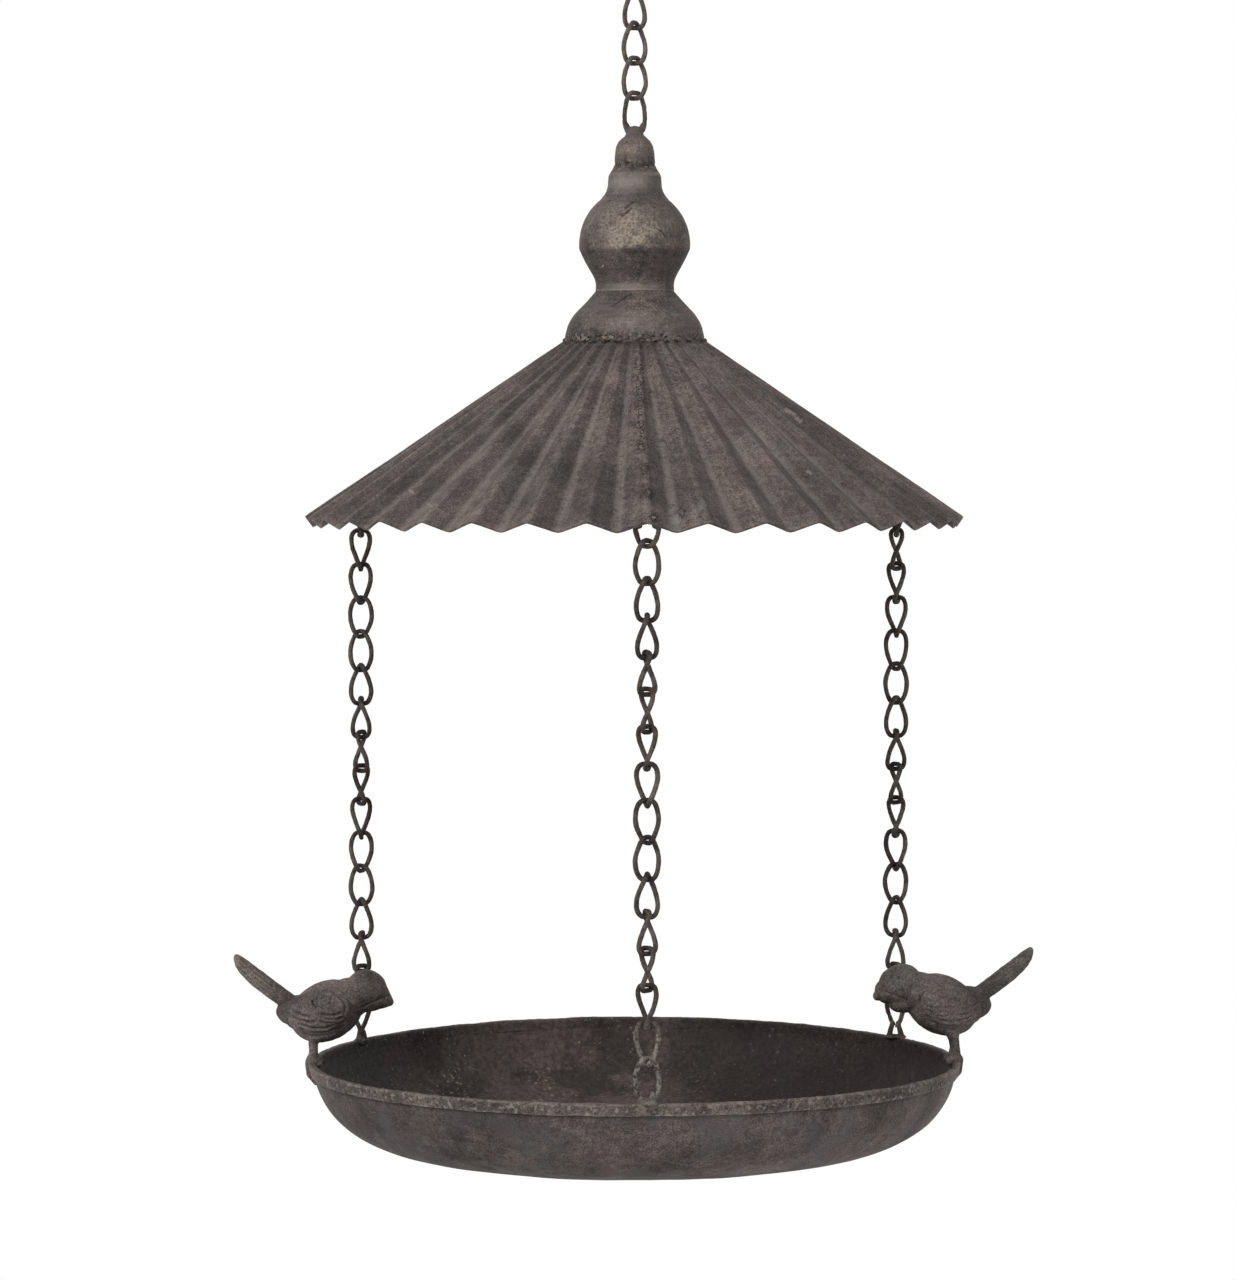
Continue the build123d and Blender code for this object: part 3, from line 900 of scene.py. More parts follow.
def aged_iron_group():
    """Mottled, speckled iron with rubbed edges and painted highlights on them, and grimy hollows with painted
    shade in them.
    """
    iron = bpy.context.scene.feeder_iron
    tints = ("dark", "brown", "grey", "rubbed", "soot")
    inputs = {name.capitalize(): tuple(getattr(iron, name)) for name in tints}
    inputs.update({"Wear": 0.0, "Grime": 0.0, "Crust": 0.0, "Speckle": 0.5, "Patches": 1.0})
    outputs = {"Color": "Color", "Roughness": "Float", "Height": "Float"}
    net, given, out = new_tree("Aged iron", "ShaderNodeTree", inputs, outputs)
    where = net.place()
    broad = net.noise(where, 16.0, 5.0, 0.62, 3.0)
    middle = net.noise(where, 62.0, 6.0, 0.66, 11.0)
    tint = net.noise(where, 34.0, 5.0, 0.6, 23.0)
    fine = net.noise(where, 360.0, 5.0, 0.7, 5.0)
    dots = net.noise(where, 1150.0, 2.0, 0.5, 9.0)
    pits = net.noise(where, 820.0, 2.0, 0.5, 31.0)
    sand = net.noise(where, 1500.0, 2.0, 0.6, 57.0)
    colour = net.mix(broad.stretch(0.36, 0.6), given["Dark"], given["Brown"])
    colour = net.mix(tint.stretch(0.5, 0.7) * given["Patches"], colour, given["Grey"])
    level = middle.stretch(0.3, 0.7, 0.74, 1.22) * fine.stretch(0.28, 0.72, 0.66, 1.38)
    colour = net.shaded(colour, level * sand.stretch(0.3, 0.7, 0.56, 1.5))
    # Painted highlight and rubbed bare iron on edges, in the rubbed colour.
    worn_and_sheen = net.math("MULTIPLY", given["Wear"], fine.stretch(0.3, 0.66, 0.1, 1.15), clamp=True)
    worn_and_sheen = worn_and_sheen * middle.stretch(0.34, 0.62, 0.3, 1.0)
    colour = net.mix(worn_and_sheen, colour, given["Rubbed"])
    sparkle = dots.stretch(0.63, 0.7) * middle.stretch(0.42, 0.6) * given["Speckle"]
    colour = net.mix(sparkle, colour, given["Rubbed"])
    holes = pits.stretch(0.37, 0.3) * tint.stretch(0.42, 0.62)
    colour = net.mix(holes * 0.6, colour, given["Soot"])
    flaws = net.noise(where, 480.0, 3.0, 0.55, 83.0).stretch(0.52, 0.42) * given["Crust"]
    colour = net.mix(flaws * 0.92, colour, given["Soot"])
    flecks = net.noise(where, 620.0, 2.0, 0.5, 87.0).stretch(0.55, 0.62) * given["Crust"]
    colour = net.mix(flecks, colour, given["Rubbed"])
    # Painted shade and grimy darkening in hollows, in the dark colour.
    dirt_and_shade = net.math("MULTIPLY", given["Grime"], middle.stretch(0.25, 0.7, 1.0, 0.5), clamp=True)
    net.feed(out["Color"], net.mix(dirt_and_shade, colour, given["Soot"]))
    net.feed(out["Roughness"], fine.stretch(0.25, 0.75, 0.6, 0.82) - worn_and_sheen * 0.1)
    net.feed(out["Height"], middle * 0.8 + fine * 0.55 + dots * 0.22 - holes * 0.5 - flaws * 0.7)
    return net.tree


def front_mark_group():
    """Mask of a short ragged stroke on the front, from one place to another as seen from the front."""
    inputs = {"From": "Vector", "To": "Vector", "Width": 0.0005, "Hollow": 0.0}
    net, given, out = new_tree("Front mark", "ShaderNodeTree", inputs, {"Mask": "Float"})
    where = net.place()
    way = net.vector("SUBTRACT", given["To"], given["From"])
    gone = net.vector("SUBTRACT", net.vector("MULTIPLY", where, (1, 0, 1)), given["From"])
    along, length = net.vector("DOT_PRODUCT", gone, way), net.vector("DOT_PRODUCT", way, way)
    step = net.vector("SCALE", way, net.math("DIVIDE", along, length, clamp=True))
    away = net.vector("LENGTH", net.vector("SUBTRACT", gone, step))
    size = away * net.noise(where, 900.0, 2.0, 0.6, 3.0).stretch(0.3, 0.7, 0.55, 1.5) / given["Width"]
    core = size.stretch(0.62, 0.3) * given["Hollow"]
    ahead = where.xyz()[1].stretch(0.0, -0.002)
    net.feed(out["Mask"], net.math("SUBTRACT", size.stretch(1.0, 0.5), core, clamp=True) * ahead)
    return net.tree


def front_mark(net, start, end, width, hollow=0.0):
    """Mask of one mark, its places as (across, up) and all sizes in millimetres."""
    inputs = {
        "From": (start[0] * MM, 0, start[1] * MM),
        "To": (end[0] * MM, 0, end[1] * MM),
        "Width": width * MM,
        "Hollow": hollow,
    }
    return net.out("ShaderNodeGroup", inputs, "Mask", node_tree=shared_tree("Front mark", front_mark_group))


def iron_material(name, bump, extra=None, **values):
    """Aged iron with its own values; extra changes the colour and height before they reach the shader."""
    material = bpy.data.materials.get(name)
    if material:
        return material
    material = bpy.data.materials.new(name)
    material.use_nodes = True
    net = Net(material.node_tree)
    values.update({key.capitalize(): net.painted(key) for key in ("wear", "grime", "crust")})
    group = net.node("ShaderNodeGroup", values, node_tree=shared_tree("Aged iron", aged_iron_group)).outputs
    colour, rough, height = (Signal(net, group[key]) for key in ("Color", "Roughness", "Height"))
    if extra:
        colour, height = extra(net, colour, height)
    shader = net.tree.nodes["Principled BSDF"].inputs
    net.feed(shader["Base Color"], colour)
    net.feed(shader["Roughness"], rough)
    relief = {"Strength": bump, "Distance": BUMP_DEPTH, "Height": height}
    net.feed(shader["Normal"], net.out("ShaderNodeBump", relief))
    net.feed(shader["Metallic"], METAL)
    net.feed(shader["Specular IOR Level"], SHINE)
    return material


def wire_material():
    """Chain wire, dark and rusty, with the last links of the front chain dusty from the dish."""

    def extra(net, colour, height):
        where = net.place()
        _, y, z = where.xyz()
        rust = net.noise(where, 120.0, 4.0, 0.6, 37.0).stretch(0.5, 0.72, 0.0, 0.5)
        colour = net.mix(rust, colour, RUST)
        low = z.stretch(RIM_TOP + 38 * MM, RIM_TOP + 26 * MM)
        low = low * z.stretch(RIM_TOP + 1 * MM, RIM_TOP + 7 * MM, 0.55, 1.0)
        dust = low * y.stretch(-0.1, -0.13) * 0.95
        dust = dust * net.noise(where, 700.0, 3.0, 0.6, 4.0).stretch(0.36, 0.6)
        colour = net.mix(dust, colour, SEED_DUST)
        colour = net.shaded(colour, z.stretch(KNOB_TOP + 3 * MM, KNOB_TOP + 12 * MM, 1.0, 1.3))
        foot = abs(z - KNOB_TOP).stretch(6 * MM, 2 * MM, 0.0, 0.6)
        return net.mix(foot, colour, EYE_WELD), height

    return iron_material(
        "chain_wire_iron",
        0.6,
        extra,
        Speckle=0.35,
        Patches=0.4,
        Dark=(0.026, 0.022, 0.020, 1),
        Brown=(0.063, 0.049, 0.043, 1),
        Rubbed=(0.182, 0.154, 0.134, 1),
    )


def finial_material():
    """Pressed sheet with a crumbly tan bloom on the bulb, a pale painted highlight with a hazy grain down its
    front, faint turning lines and a few scratches.
    """

    def extra(net, colour, height):
        iron = bpy.context.scene.feeder_iron
        soot, seam, neck = tuple(iron.soot), BULB_SEAM / MM, NECK_LOW / MM
        where = net.place()
        lines = net.noise(net.vector("MULTIPLY", where, (1.0, 1.0, 9.0)), 95.0, 3.0, 0.7, 2.0)
        crumbs = net.noise(where, 820.0, 3.0, 0.62, 14.0)
        bloom = net.noise(where, 170.0, 3.0, 0.6, 8.0)
        stain = net.noise(where, 70.0, 3.0, 0.6, 48.0).stretch(0.46, 0.62, 0.0, 0.6)
        colour = net.mix(stain, colour, PURPLE_STAIN)
        colour = net.shaded(colour, lines.stretch(0.3, 0.7, 0.84, 1.16))
        rub = net.painted("rub") * bloom.stretch(0.26, 0.6, 0.3, 1.0) * crumbs.stretch(0.36, 0.64, 0.2, 1.0)
        # Pale painted highlight with a hazy grain, on the strip down the front where the pale mark lies.
        haze_and_sheen = net.painted("pale") * bloom.stretch(0.3, 0.6, 0.6, 1.0) * crumbs.stretch(0.3, 0.6, 0.8, 1.0)
        colour = net.mix(haze_and_sheen, colour, PALE_HAZE_AND_SHEEN)
        colour = net.mix(rub, colour, tuple(iron.tan))
        dark = front_mark(net, (-5.0, seam + 15.2), (-1.4, seam + 18.4), 0.7)
        dark = dark.larger(front_mark(net, (-6.4, seam + 11.7), (-2.4, seam + 15.4), 0.7))
        dark = dark.larger(front_mark(net, (10.4, seam + 5.8), (13.2, seam + 2.6), 0.4))
        colour = net.mix(dark * 0.66, colour, soot)
        faint = front_mark(net, (-10.8, neck - 7.2), (-2.1, neck - 1.3), 0.55)
        colour = net.mix(faint * 0.5, colour, soot)
        chip = front_mark(net, (-15.1, seam - 10.5), (-15.0, seam - 10.4), 0.5)
        colour = net.mix(chip, colour, BULB_CHIP)
        return colour, height + lines * 0.3 + rub * crumbs * 0.8 - dark * 0.8

    return iron_material(
        "finial_iron",
        0.5,
        extra,
        Speckle=0.4,
        Patches=0.7,
        Dark=(0.074, 0.062, 0.057, 1),
        Brown=(0.142, 0.114, 0.104, 1),
        Grey=(0.115, 0.110, 0.099, 1),
    )


def roof_material():
    """Fluted sheet with dust and a painted highlight down its grooves, painted shade on one flank of each
    flute, streaks down the slope, rivet rings and pale scrapes.
    """

    def extra(net, colour, height):
        where = net.place()
        x, y, _ = where.xyz()
        along = net.painted("slope", "Vector")
        streak = net.vector("MULTIPLY", along, (7.0, 2.0, 1.0))
        lines = net.noise(streak, 1.0, 4.0, 0.65, 6.0)
        colour = net.shaded(colour, lines.stretch(0.3, 0.7, 0.84, 1.16))
        # Painted shade on the flank of each flute that faces round one way, and painted light on the other
        # flanks.
        flank = net.math("FRACT", along.xyz()[0] + 2.0)
        painted_flank_shade = flank.stretch(0.02, 0.12) * flank.stretch(0.48, 0.36)
        colour = net.shaded(colour, painted_flank_shade * -0.28 + 1.09)
        # Dust and a painted highlight down the grooves, broken into streaks.
        veil = net.noise(streak, 0.6, 3.0, 0.6, 52.0).stretch(0.3, 0.62, 0.25, 1.0)
        veil = veil * net.noise(where, 520.0, 3.0, 0.6, 33.0).stretch(0.3, 0.65, 0.3, 1.0)
        colour = net.mix(net.painted("dust") * veil * 0.72, colour, GROOVE_DUST_AND_SHEEN)
        near_seam = abs(x).stretch(0.05, 0.012) * y.stretch(-0.02, -0.06)
        pits = net.noise(where, 560.0, 2.0, 0.55, 71.0).stretch(0.45, 0.37) * near_seam
        pits = pits * net.noise(where, 90.0, 2.0, 0.5, 74.0).stretch(0.45, 0.58, 0.0, 0.5)
        holes = net.noise(where, 760.0, 1.0, 0.5, 78.0).stretch(0.5, 0.42)
        for start, end, width, share in ROOF_PITTED:
            pits = pits.larger(front_mark(net, start, end, width) * holes * share)
        for across, _, up in rivet_places():
            rivet = (across / MM, up / MM)
            pits = pits.larger(front_mark(net, rivet, rivet, 2.5, hollow=0.9) * 0.95)
        outer = net.painted("outer")
        pits = pits.larger(front_mark(net, *ROOF_RING, hollow=1.0)) * outer
        colour = net.mix(pits, colour, tuple(bpy.context.scene.feeder_iron.soot))
        scrapes = net.noise(where, 240.0, 2.0, 0.5, 19.0).stretch(0.74, 0.78, 0.0, 0.4)
        for start, end, width in ROOF_SCRAPES:
            scrapes = scrapes.larger(front_mark(net, start, end, width) * 0.6 * outer)
        return net.mix(scrapes, colour, SCRAPE), height + lines * 0.4 - pits * 0.8

    return iron_material(
        "roof_iron",
        0.55,
        extra,
        Speckle=0.4,
        Patches=0.45,
        Dark=(0.066, 0.054, 0.050, 1),
        Brown=(0.112, 0.088, 0.081, 1),
    )


def dish_inside_group():
    """Darker colour on the inside of the dish, lighter in the middle and darkest to the right, with dark stains
    and a few husks.
    """
    inputs = {"Color": "Color", "Inside": 0.0}
    net, given, out = new_tree("Dish inside", "ShaderNodeTree", inputs, {"Color": "Color"})
    where = net.place()
    x, _, z = where.xyz()
    deep = net.mix(x.stretch(0.0, 0.055), INSIDE_MIDDLE, INSIDE_RIGHT)
    deep = net.mix(x.stretch(-0.03, -0.12), deep, INSIDE_LEFT)
    stain = net.noise(where, 22.0, 5.0, 0.6, 41.0).stretch(0.5, 0.4, 0.0, 0.8)
    deep = net.mix(stain, deep, INSIDE_STAIN)
    deep = net.shaded(deep, net.noise(where, 420.0, 4.0, 0.65, 61.0).stretch(0.3, 0.7, 0.62, 1.45))
    colour = net.mix(given["Inside"] * 0.88, given["Color"], deep)
    low = z.stretch(RIM_TOP - 12 * MM, RIM_TOP - 22 * MM)
    heaps = net.noise(where, 26.0, 2.0, 0.5, 64.0).stretch(0.44, 0.6, 0.0, 0.5)
    for middle, width in HUSK_HEAPS:
        heaps = heaps.larger(abs(x - middle).stretch(width, 0.2 * width) * low)
    seeds = net.noise(where, 560.0, 2.0, 0.5, 17.0)
    husks = (heaps * 0.09 + seeds).stretch(0.7, 0.75) * x.stretch(0.1, -0.06, 0.35, 0.8) * given["Inside"]
    net.feed(out["Color"], net.mix(husks, colour, HUSK))
    return net.tree


def inside_colour(net, colour, inside):
    """A colour changed to the dish's inside where the share is 1."""
    inputs = {"Color": colour, "Inside": inside}
    return net.out("ShaderNodeGroup", inputs, "Color", node_tree=shared_tree("Dish inside", dish_inside_group))


def dish_material():
    """Dish sheet, dark and stained with a few husks inside, blotched and scraped outside."""

    def extra(net, colour, height):
        where = net.place()
        x, _, z = where.xyz()
        inside = net.painted("inside")
        blue = net.noise(where, 30.0, 4.0, 0.6, 44.0).stretch(0.48, 0.62, 0.0, 0.55)
        colour = net.mix(blue, colour, BLUE_BLOTCH)
        brown = net.noise(where, 42.0, 4.0, 0.6, 46.0).stretch(0.56, 0.68, 0.0, 0.5)
        colour = net.mix(brown, colour, BROWN_BLOTCH)
        # Painted light and shade: the outside darker to the left and lighter to the right.
        colour = net.shaded(colour, x.stretch(-0.1, 0.1, 0.92, 1.18))
        low = z.stretch(DISH_BASE + 30 * MM, DISH_BASE + 12 * MM) * x.stretch(-0.02, -0.06)
        moss = low * net.noise(where, 75.0, 4.0, 0.6, 91.0).stretch(0.5, 0.62, 0.0, 0.6)
        colour = inside_colour(net, net.mix(moss, colour, MOSS), inside)
        flat = net.vector("MULTIPLY", where, (1.0, 1.0, 5.0))
        marks = net.noise(flat, 150.0, 4.0, 0.7, 27.0).stretch(0.62, 0.72, 0.0, 0.5) * (1.0 - inside)
        return net.mix(marks, colour, tuple(bpy.context.scene.feeder_iron.rubbed)), height

    return iron_material("dish_iron", 0.5, extra, Speckle=0.55, Patches=0.7)


def rim_material():
    """Rim band, speckled and pitted, rubbed bright and with a painted highlight along its edges, and dark on
    its inner face.
    """

    def extra(net, colour, height):
        where = net.place()
        dots = net.noise(where, 470.0, 2.0, 0.5, 93.0).stretch(0.57, 0.66, 0.0, 0.8)
        holes = net.noise(where, 390.0, 2.0, 0.5, 95.0).stretch(0.41, 0.34, 0.0, 0.5)
        colour = net.mix(dots, colour, RIM_SPECK)
        colour = net.mix(holes, colour, tuple(bpy.context.scene.feeder_iron.soot))
        return inside_colour(net, colour, net.painted("inside")), height - holes * 0.6

    return iron_material(
        "dish_rim_iron",
        0.7,
        extra,
        Speckle=0.9,
        Patches=0.6,
        Dark=(0.066, 0.055, 0.050, 1),
        Brown=(0.125, 0.100, 0.090, 1),
    )


def bird_material():
    """Cast iron birds."""
    return iron_material(
        "cast_bird_iron",
        0.5,
        Speckle=0.35,
        Patches=0.8,
        Dark=(0.070, 0.059, 0.054, 1),
        Brown=(0.148, 0.120, 0.110, 1),
        Grey=(0.120, 0.115, 0.104, 1),
    )


# Pieces


def sag(x, y):
    """How far the rim, bent with use, sits above its true level at a place, lowest at its ends."""
    ends = x * x / np.maximum(x * x + y * y, 1e-9)
    return (-1.5 * ends + np.where(y < 0, -0.9, 0.2) * (1 - ends)) * MM


def grown_links(count, first, top, base_angle, turn, hand=1.0, twist=None):
    """Mesh of one run of links, with the usual twist unless another is given."""
    sizes = bpy.context.scene.feeder_links
    values = {
        "Count": count,
        "First": float(first),
        "Steps": float(CHAIN_STEPS),
        "Top": tuple(top),
        "Pitch": sizes.pitch,
        "Wire": sizes.wire,
        "Inner Length": sizes.inner_length,
        "Inner Width": sizes.inner_width,
        "Twist": hand * (twist or sizes.twist),
        "Base Angle": base_angle,
        "Turn": hand * turn,
        "Ease": sizes.ease,
        "Hand Bend": sizes.bend,
        "Material": wire_material(),
    }
    mesh = grown(shared_tree("Twisted links", link_tree), values)
    face_outwards(mesh)
    return mesh


def link_half_length():
    """Half the length of a link's centre line."""
    sizes = bpy.context.scene.feeder_links
    return (sizes.inner_length + sizes.wire) / 2


def tube(path, radius, segments=20):
    """Closed round wire along a run of places in the XZ plane, with rounded ends."""
    path = [Vector(p) for p in path]
    rings = []
    normal = Vector((0, 1, 0))
    for i, place in enumerate(path):
        before, after = path[max(i - 1, 0)], path[min(i + 1, len(path) - 1)]
        way = (after - before).normalized()
        side = way.cross(normal).normalized()
        rings.append((place, way, side, radius))
    first, last = rings[0], rings[-1]
    for a in np.radians((20, 40, 60, 78)):
        rings.insert(0, (first[0] - first[1] * radius * math.sin(a), *first[1:3], radius * math.cos(a)))
        rings.append((last[0] + last[1] * radius * math.sin(a), *last[1:3], radius * math.cos(a)))
    verts, faces = [], []
    for place, _, side, size in rings:
        for k in range(segments):
            a = 2 * math.pi * k / segments
            verts.append(place + side * size * math.cos(a) + normal * size * math.sin(a))
    for start in range(0, (len(rings) - 1) * segments, segments):
        for k in range(segments):
            n = (k + 1) % segments
            faces.append((start + k, start + n, start + segments + n, start + segments + k))
    faces.append(tuple(range(segments)))
    faces.append(tuple(range((len(rings) - 1) * segments, len(rings) * segments)))
    mesh = bpy.data.meshes.new("tube")
    mesh.from_pydata(verts, [], faces)
    face_outwards(mesh)
    return mesh


def trimmed(mesh, height, keep_above):
    """Cuts a mesh off level at a height and closes the cut."""
    bm = bmesh.new()
    bm.from_mesh(mesh)
    whole = bm.verts[:] + bm.edges[:] + bm.faces[:]
    cut = bmesh.ops.bisect_plane(
        bm,
        geom=whole,
        plane_co=(0, 0, height),
        plane_no=(0, 0, 1),
        clear_inner=keep_above,
        clear_outer=not keep_above,
    )
    edges = [item for item in cut["geom_cut"] if isinstance(item, bmesh.types.BMEdge)]
    bmesh.ops.edgeloop_fill(bm, edges=edges)
    bm.to_mesh(mesh)
    bm.free()
    return mesh


class FEEDER_OT_hook(bpy.types.Operator):
    """Make the wire hook that the feeder hangs from."""

    bl_idname = "feeder.hook"
    bl_label = "Hanging hook"

    def execute(self, context):
        sizes = context.scene.feeder_links
        top = sizes.hook_top_radius + sizes.hook_wire / 2
        low = sizes.hook_low_radius + sizes.hook_wire / 2
        low_z = HOOK_LOW + sizes.hook_wire + sizes.hook_low_radius
        spacing = -sizes.hook_top_radius - low_z
        lean = math.degrees(math.acos((top + low) / spacing))
        upper = bend((0, -sizes.hook_top_radius), top, 205, lean - 90, 60)
        lower = bend((0, low_z), low, lean + 90, 390, 44)
        shank = [tuple(np.array(upper[-1]) * (1 - t) + np.array(lower[0]) * t) for t in (0.25, 0.5, 0.75)]
        mesh = tube([(x, 0, z) for x, z in upper + shank + lower], sizes.hook_wire / 2)
        roughen(mesh, 0.09 * MM, 5 * MM, 3)
        heights = places(mesh)[:, 2]
        rub = np.maximum(hump(heights, low_z - low, 3 * MM), hump(heights, 0.0, 2.5 * MM))
        paint(mesh, "wear", 0.12 + 0.7 * rub)
        piece("hook_wire", mesh, wire_material(), "chain_wire", "hanging_hook")
        return {"FINISHED"}


# Turn of each top link about the hanging axis, in degrees
TOP_LINK_ANGLES = {"top_link_1": 45.0, "top_link_2": 33.75, "top_link_3": 22.5, "top_link_4": 11.25}


class FEEDER_OT_top_links(bpy.types.Operator):
    """Make the short top chain and the eye on the finial."""

    bl_idname = "feeder.top_links"
    bl_label = "Top chain"

    def execute(self, context):
        made = {}
        for node, angle in TOP_LINK_ANGLES.items():
            low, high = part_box(node)
            made[node] = grown_links(1, 0, (0, 0, (low.z + high.z) / 2), math.radians(angle), 0.0)
        first, *rest = made
        piece("upper_link", made[first], wire_material(), "chain_wire", first)
        piece("upper_chain", joined(*(made[node] for node in rest)), wire_material(), "chain_wire", *rest)
        wire = context.scene.feeder_links.wire
        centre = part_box("finial_eye")[1].z - wire / 2 - link_half_length()
        eye = grown_links(1, 0, (0, 0, centre), math.radians(22.5), 0.0, twist=math.radians(45))
        eye = trimmed(eye, KNOB_TOP - 0.4 * MM, True)
        lumps = Lumps()
        lumps.add(eye, 1 / MM)
        base = KNOB_TOP / MM
        lumps.peg((0, 0, base - 2.6), (0, 0, base + 0.4), 5.2, 3.6, rounded=False)
        lumps.ball((0, 0, base + 0.5), (7.4, 6.8, 5.8))
        for side in (-1, 1):
            lumps.peg((side * 2.4, 0, base + 1.4), (side * 3.9, 0, base + 4.4), 1.15, 0.9)
        mesh = lumps.fused(0.22, 6)
        mesh.transform(Matrix.Scale(MM, 4))
        roughen(mesh, 0.12 * MM, 1.6 * MM, 8)
        mark_edges(mesh, 1.0 * MM, 3, 0.8, 1.0)
        piece("finial_eye_wire", mesh, wire_material(), "chain_wire", "finial_eye")
        return {"FINISHED"}


class FEEDER_OT_finial(bpy.types.Operator):
    """Make the knob and the three pressed shells of the finial."""

    bl_idname = "feeder.finial"
    bl_label = "Finial"

    def execute(self, context):
        sheet = context.scene.feeder_roof.finial_sheet
        flare_radius = context.scene.feeder_roof.flare_radius
        iron = finial_material()

        low, top = KNOB_LOW / MM, KNOB_TOP / MM
        side = smooth_line(
            [
                (3.9, top - 0.4),
                (4.7, top - 1.4),
                (6.7, top - 3.1),
                (8.2, top - 5.6),
                (8.85, top - 8.4),
                (9.05, top - 11.0),
                (9.15, low + 1.6),
                (9.15, low + 0.5),
            ],
            8,
        )
        outline = [(0, top), (2.4, top), (3.5, top - 0.05), *side, (9.0, low + 0.1), (8.2, low), (0, low)]
        z = np.array(outline)[:, 1]
        rub = hump(z, low + 6.5, 3.6) * 0.5
        marks = {
            # Painted shade with some grimy darkening at the knob's foot, where it meets the collar.
            "grime": hump(z, low - 0.1, 1.1) * 0.85,
            "crust": hump(z, low + 0.4, 1.7),
            "wear": rub * 0.3,
            "rub": rub,
        }
        mesh = lathe("knob", [(r * MM, h * MM) for r, h in outline], 128, marks, loop=False)
        roughen(mesh, 0.3 * MM, 6 * MM, 5)
        roughen(mesh, 0.14 * MM, 1.7 * MM, 6)
        self.lay_bloom(mesh, 5.0, -1.0)
        piece("knob", mesh, iron, "finial_sheet", "finial_knob")

        seam = BULB_SEAM / MM
        collar = smooth_line(
            [
                (9.0, low + 0.3),
                (9.3, low - 0.5),
                (10.3, low - 2.5),
                (11.75, low - 5.0),
                (12.1, low - 7.4),
                (12.45, low - 10.6),
                (13.6, low - 13.3),
                (15.7, seam + 20.1),
            ],
            7,
        )
        bulb = bend((-0.8, seam), 26.0, 50.6, 0, 54)
        outer = collar[:-1] + bulb + [(25.2, seam - 0.3), (25.05, seam - 0.55)]
        z = np.array(outer)[:, 1]
        marks = {
            "wear": hump(z, low - 4.6, 0.8) * 0.75,
            # Painted shade with some grimy darkening just under the knob.
            "grime": hump(z, low - 0.6, 1.0) * 0.85,
            "crust": hump(z, low - 1.2, 1.7),
            "rub": np.clip((seam + 19 - z) / 9, 0, 1),
            # Painted highlight on the collar, with a hazy grain.
            "pale": hump(z, low - 8.2, 3.3),
        }
        mesh = self.shell_mesh("upper_bulb", outer, sheet, marks)
        self.lay_bloom(mesh, 14.5, -3.4)
        piece("upper_bulb", mesh, iron, "finial_sheet", "finial_upper_bulb")

        neck = NECK_LOW / MM
        outer = smooth_line(
            [
                (25.0, seam + 0.2),
                (25.15, seam - 0.6),
                (25.0, seam - 2.2),
                (24.1, seam - 4.3),
                (22.75, seam - 7.1),
                (21.3, seam - 9.8),
                (19.75, seam - 12.5),
                (18.4, seam - 15.2),
                (17.75, seam - 17.6),
                (17.75, neck + 1.6),
                (17.9, neck + 0.1),
            ],
            7,
        )
        z = np.array(outer)[:, 1]
        line = hump(z, neck + 0.5, 0.35)
        band = np.clip((neck + 4.4 - z) / 2.0, 0, 1)
        marks = {
            "wear": line * 0.8,
            # Painted shade with some grimy darkening under the bulb's belt.
            "grime": hump(z, seam - 4.6, 1.4) * 0.25,
            "rub": np.clip(z - seam + 6.0, 0, 1),
            # Painted highlight on the neck's lower edge and on the band above it, with some rubbing on that
            # edge.
            "pale": np.maximum(band * 0.6, line),
        }
        mesh = self.shell_mesh("lower_bulb", outer, sheet, marks)
        self.lay_bloom(mesh, 14.5, -3.4, seam - 3.2)
        piece("lower_bulb", mesh, iron, "finial_sheet", "finial_lower_bulb")

        foot = flare_radius / MM
        base = (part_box("finial_weld")[1].z - context.scene.feeder_roof.weld_bead) / MM
        outer = smooth_line(
            [
                (17.5, neck + 0.4),
                (17.95, neck - 0.1),
                (19.6, neck - 2.0),
                (21.9, neck - 4.6),
                (24.6, neck - 7.4),
                (27.2, neck - 10.1),
                (29.2, neck - 12.9),
                (30.5, neck - 15.6),
                (31.2, neck - 18.3),
                (foot, base + 1.6),
                (foot, base - 2.4),
            ],
            7,
        )
        z = np.array(outer)[:, 1]
        soft = hump(z, base + 7.5, 4.0) * 0.3
        # Tan bloom on the flare's lower slope, with a painted highlight where it is pale.
        marks = {"wear": soft * 0.3, "crust": hump(z, base + 1.8, 1.9), "rub": soft, "pale": soft * 0.6}
        mesh = self.shell_mesh("flare", outer, sheet, marks)
        self.lay_bloom(mesh, 16.0, -3.0)
        piece("flare", mesh, iron, "finial_sheet", "finial_flare")
        return {"FINISHED"}

    def shell_mesh(self, name, outer, sheet, marks):
        """Turned shell from an outer line in millimetres, with its marks kept off the inside."""
        outline = shell([(r * MM, z * MM) for r, z in outer], sheet)
        values = {key: list(line) + [0.0] * len(outer) for key, line in marks.items()}
        mesh = lathe(name, outline, 220, values)
        roughen(mesh, 0.28 * MM, 14 * MM, 4)
        roughen(mesh, 0.05 * MM, 1.5 * MM, 9)
        return mesh

    def lay_bloom(self, mesh, width, middle, floor=None):
        """Keeps the tan bloom to a ragged patch on the front, above the floor, and a fainter one behind, with
        more over the right side as painted light; keeps the pale painted highlight to a strip down the front.
        """
        where = places(mesh) / MM
        rag = grain(where, 7.0, 12)
        spread = hump(where[:, 0], middle, width * (1 + 0.3 * rag))
        behind = np.where(where[:, 1] > 0, 0.5, 1.0)
        if floor is not None:
            behind = behind * np.clip((where[:, 2] - floor + 2.0 * grain(where, 2.4, 13)) / 1.6, 0, 1)
        # More bloom towards the right side: painted light on that side, as well as bloom.
        veil = 0.16 * np.clip(where[:, 0] / 20, 0, 1)
        paint(mesh, "rub", read(mesh, "rub") * behind * np.clip(spread + veil + 0.16 * rag, 0, 1))
        # The pale painted highlight is kept to a strip down the front.
        if "pale" in mesh.attributes:
            paint(mesh, "pale", read(mesh, "pale") * hump(where[:, 0], middle, 0.8 * width))


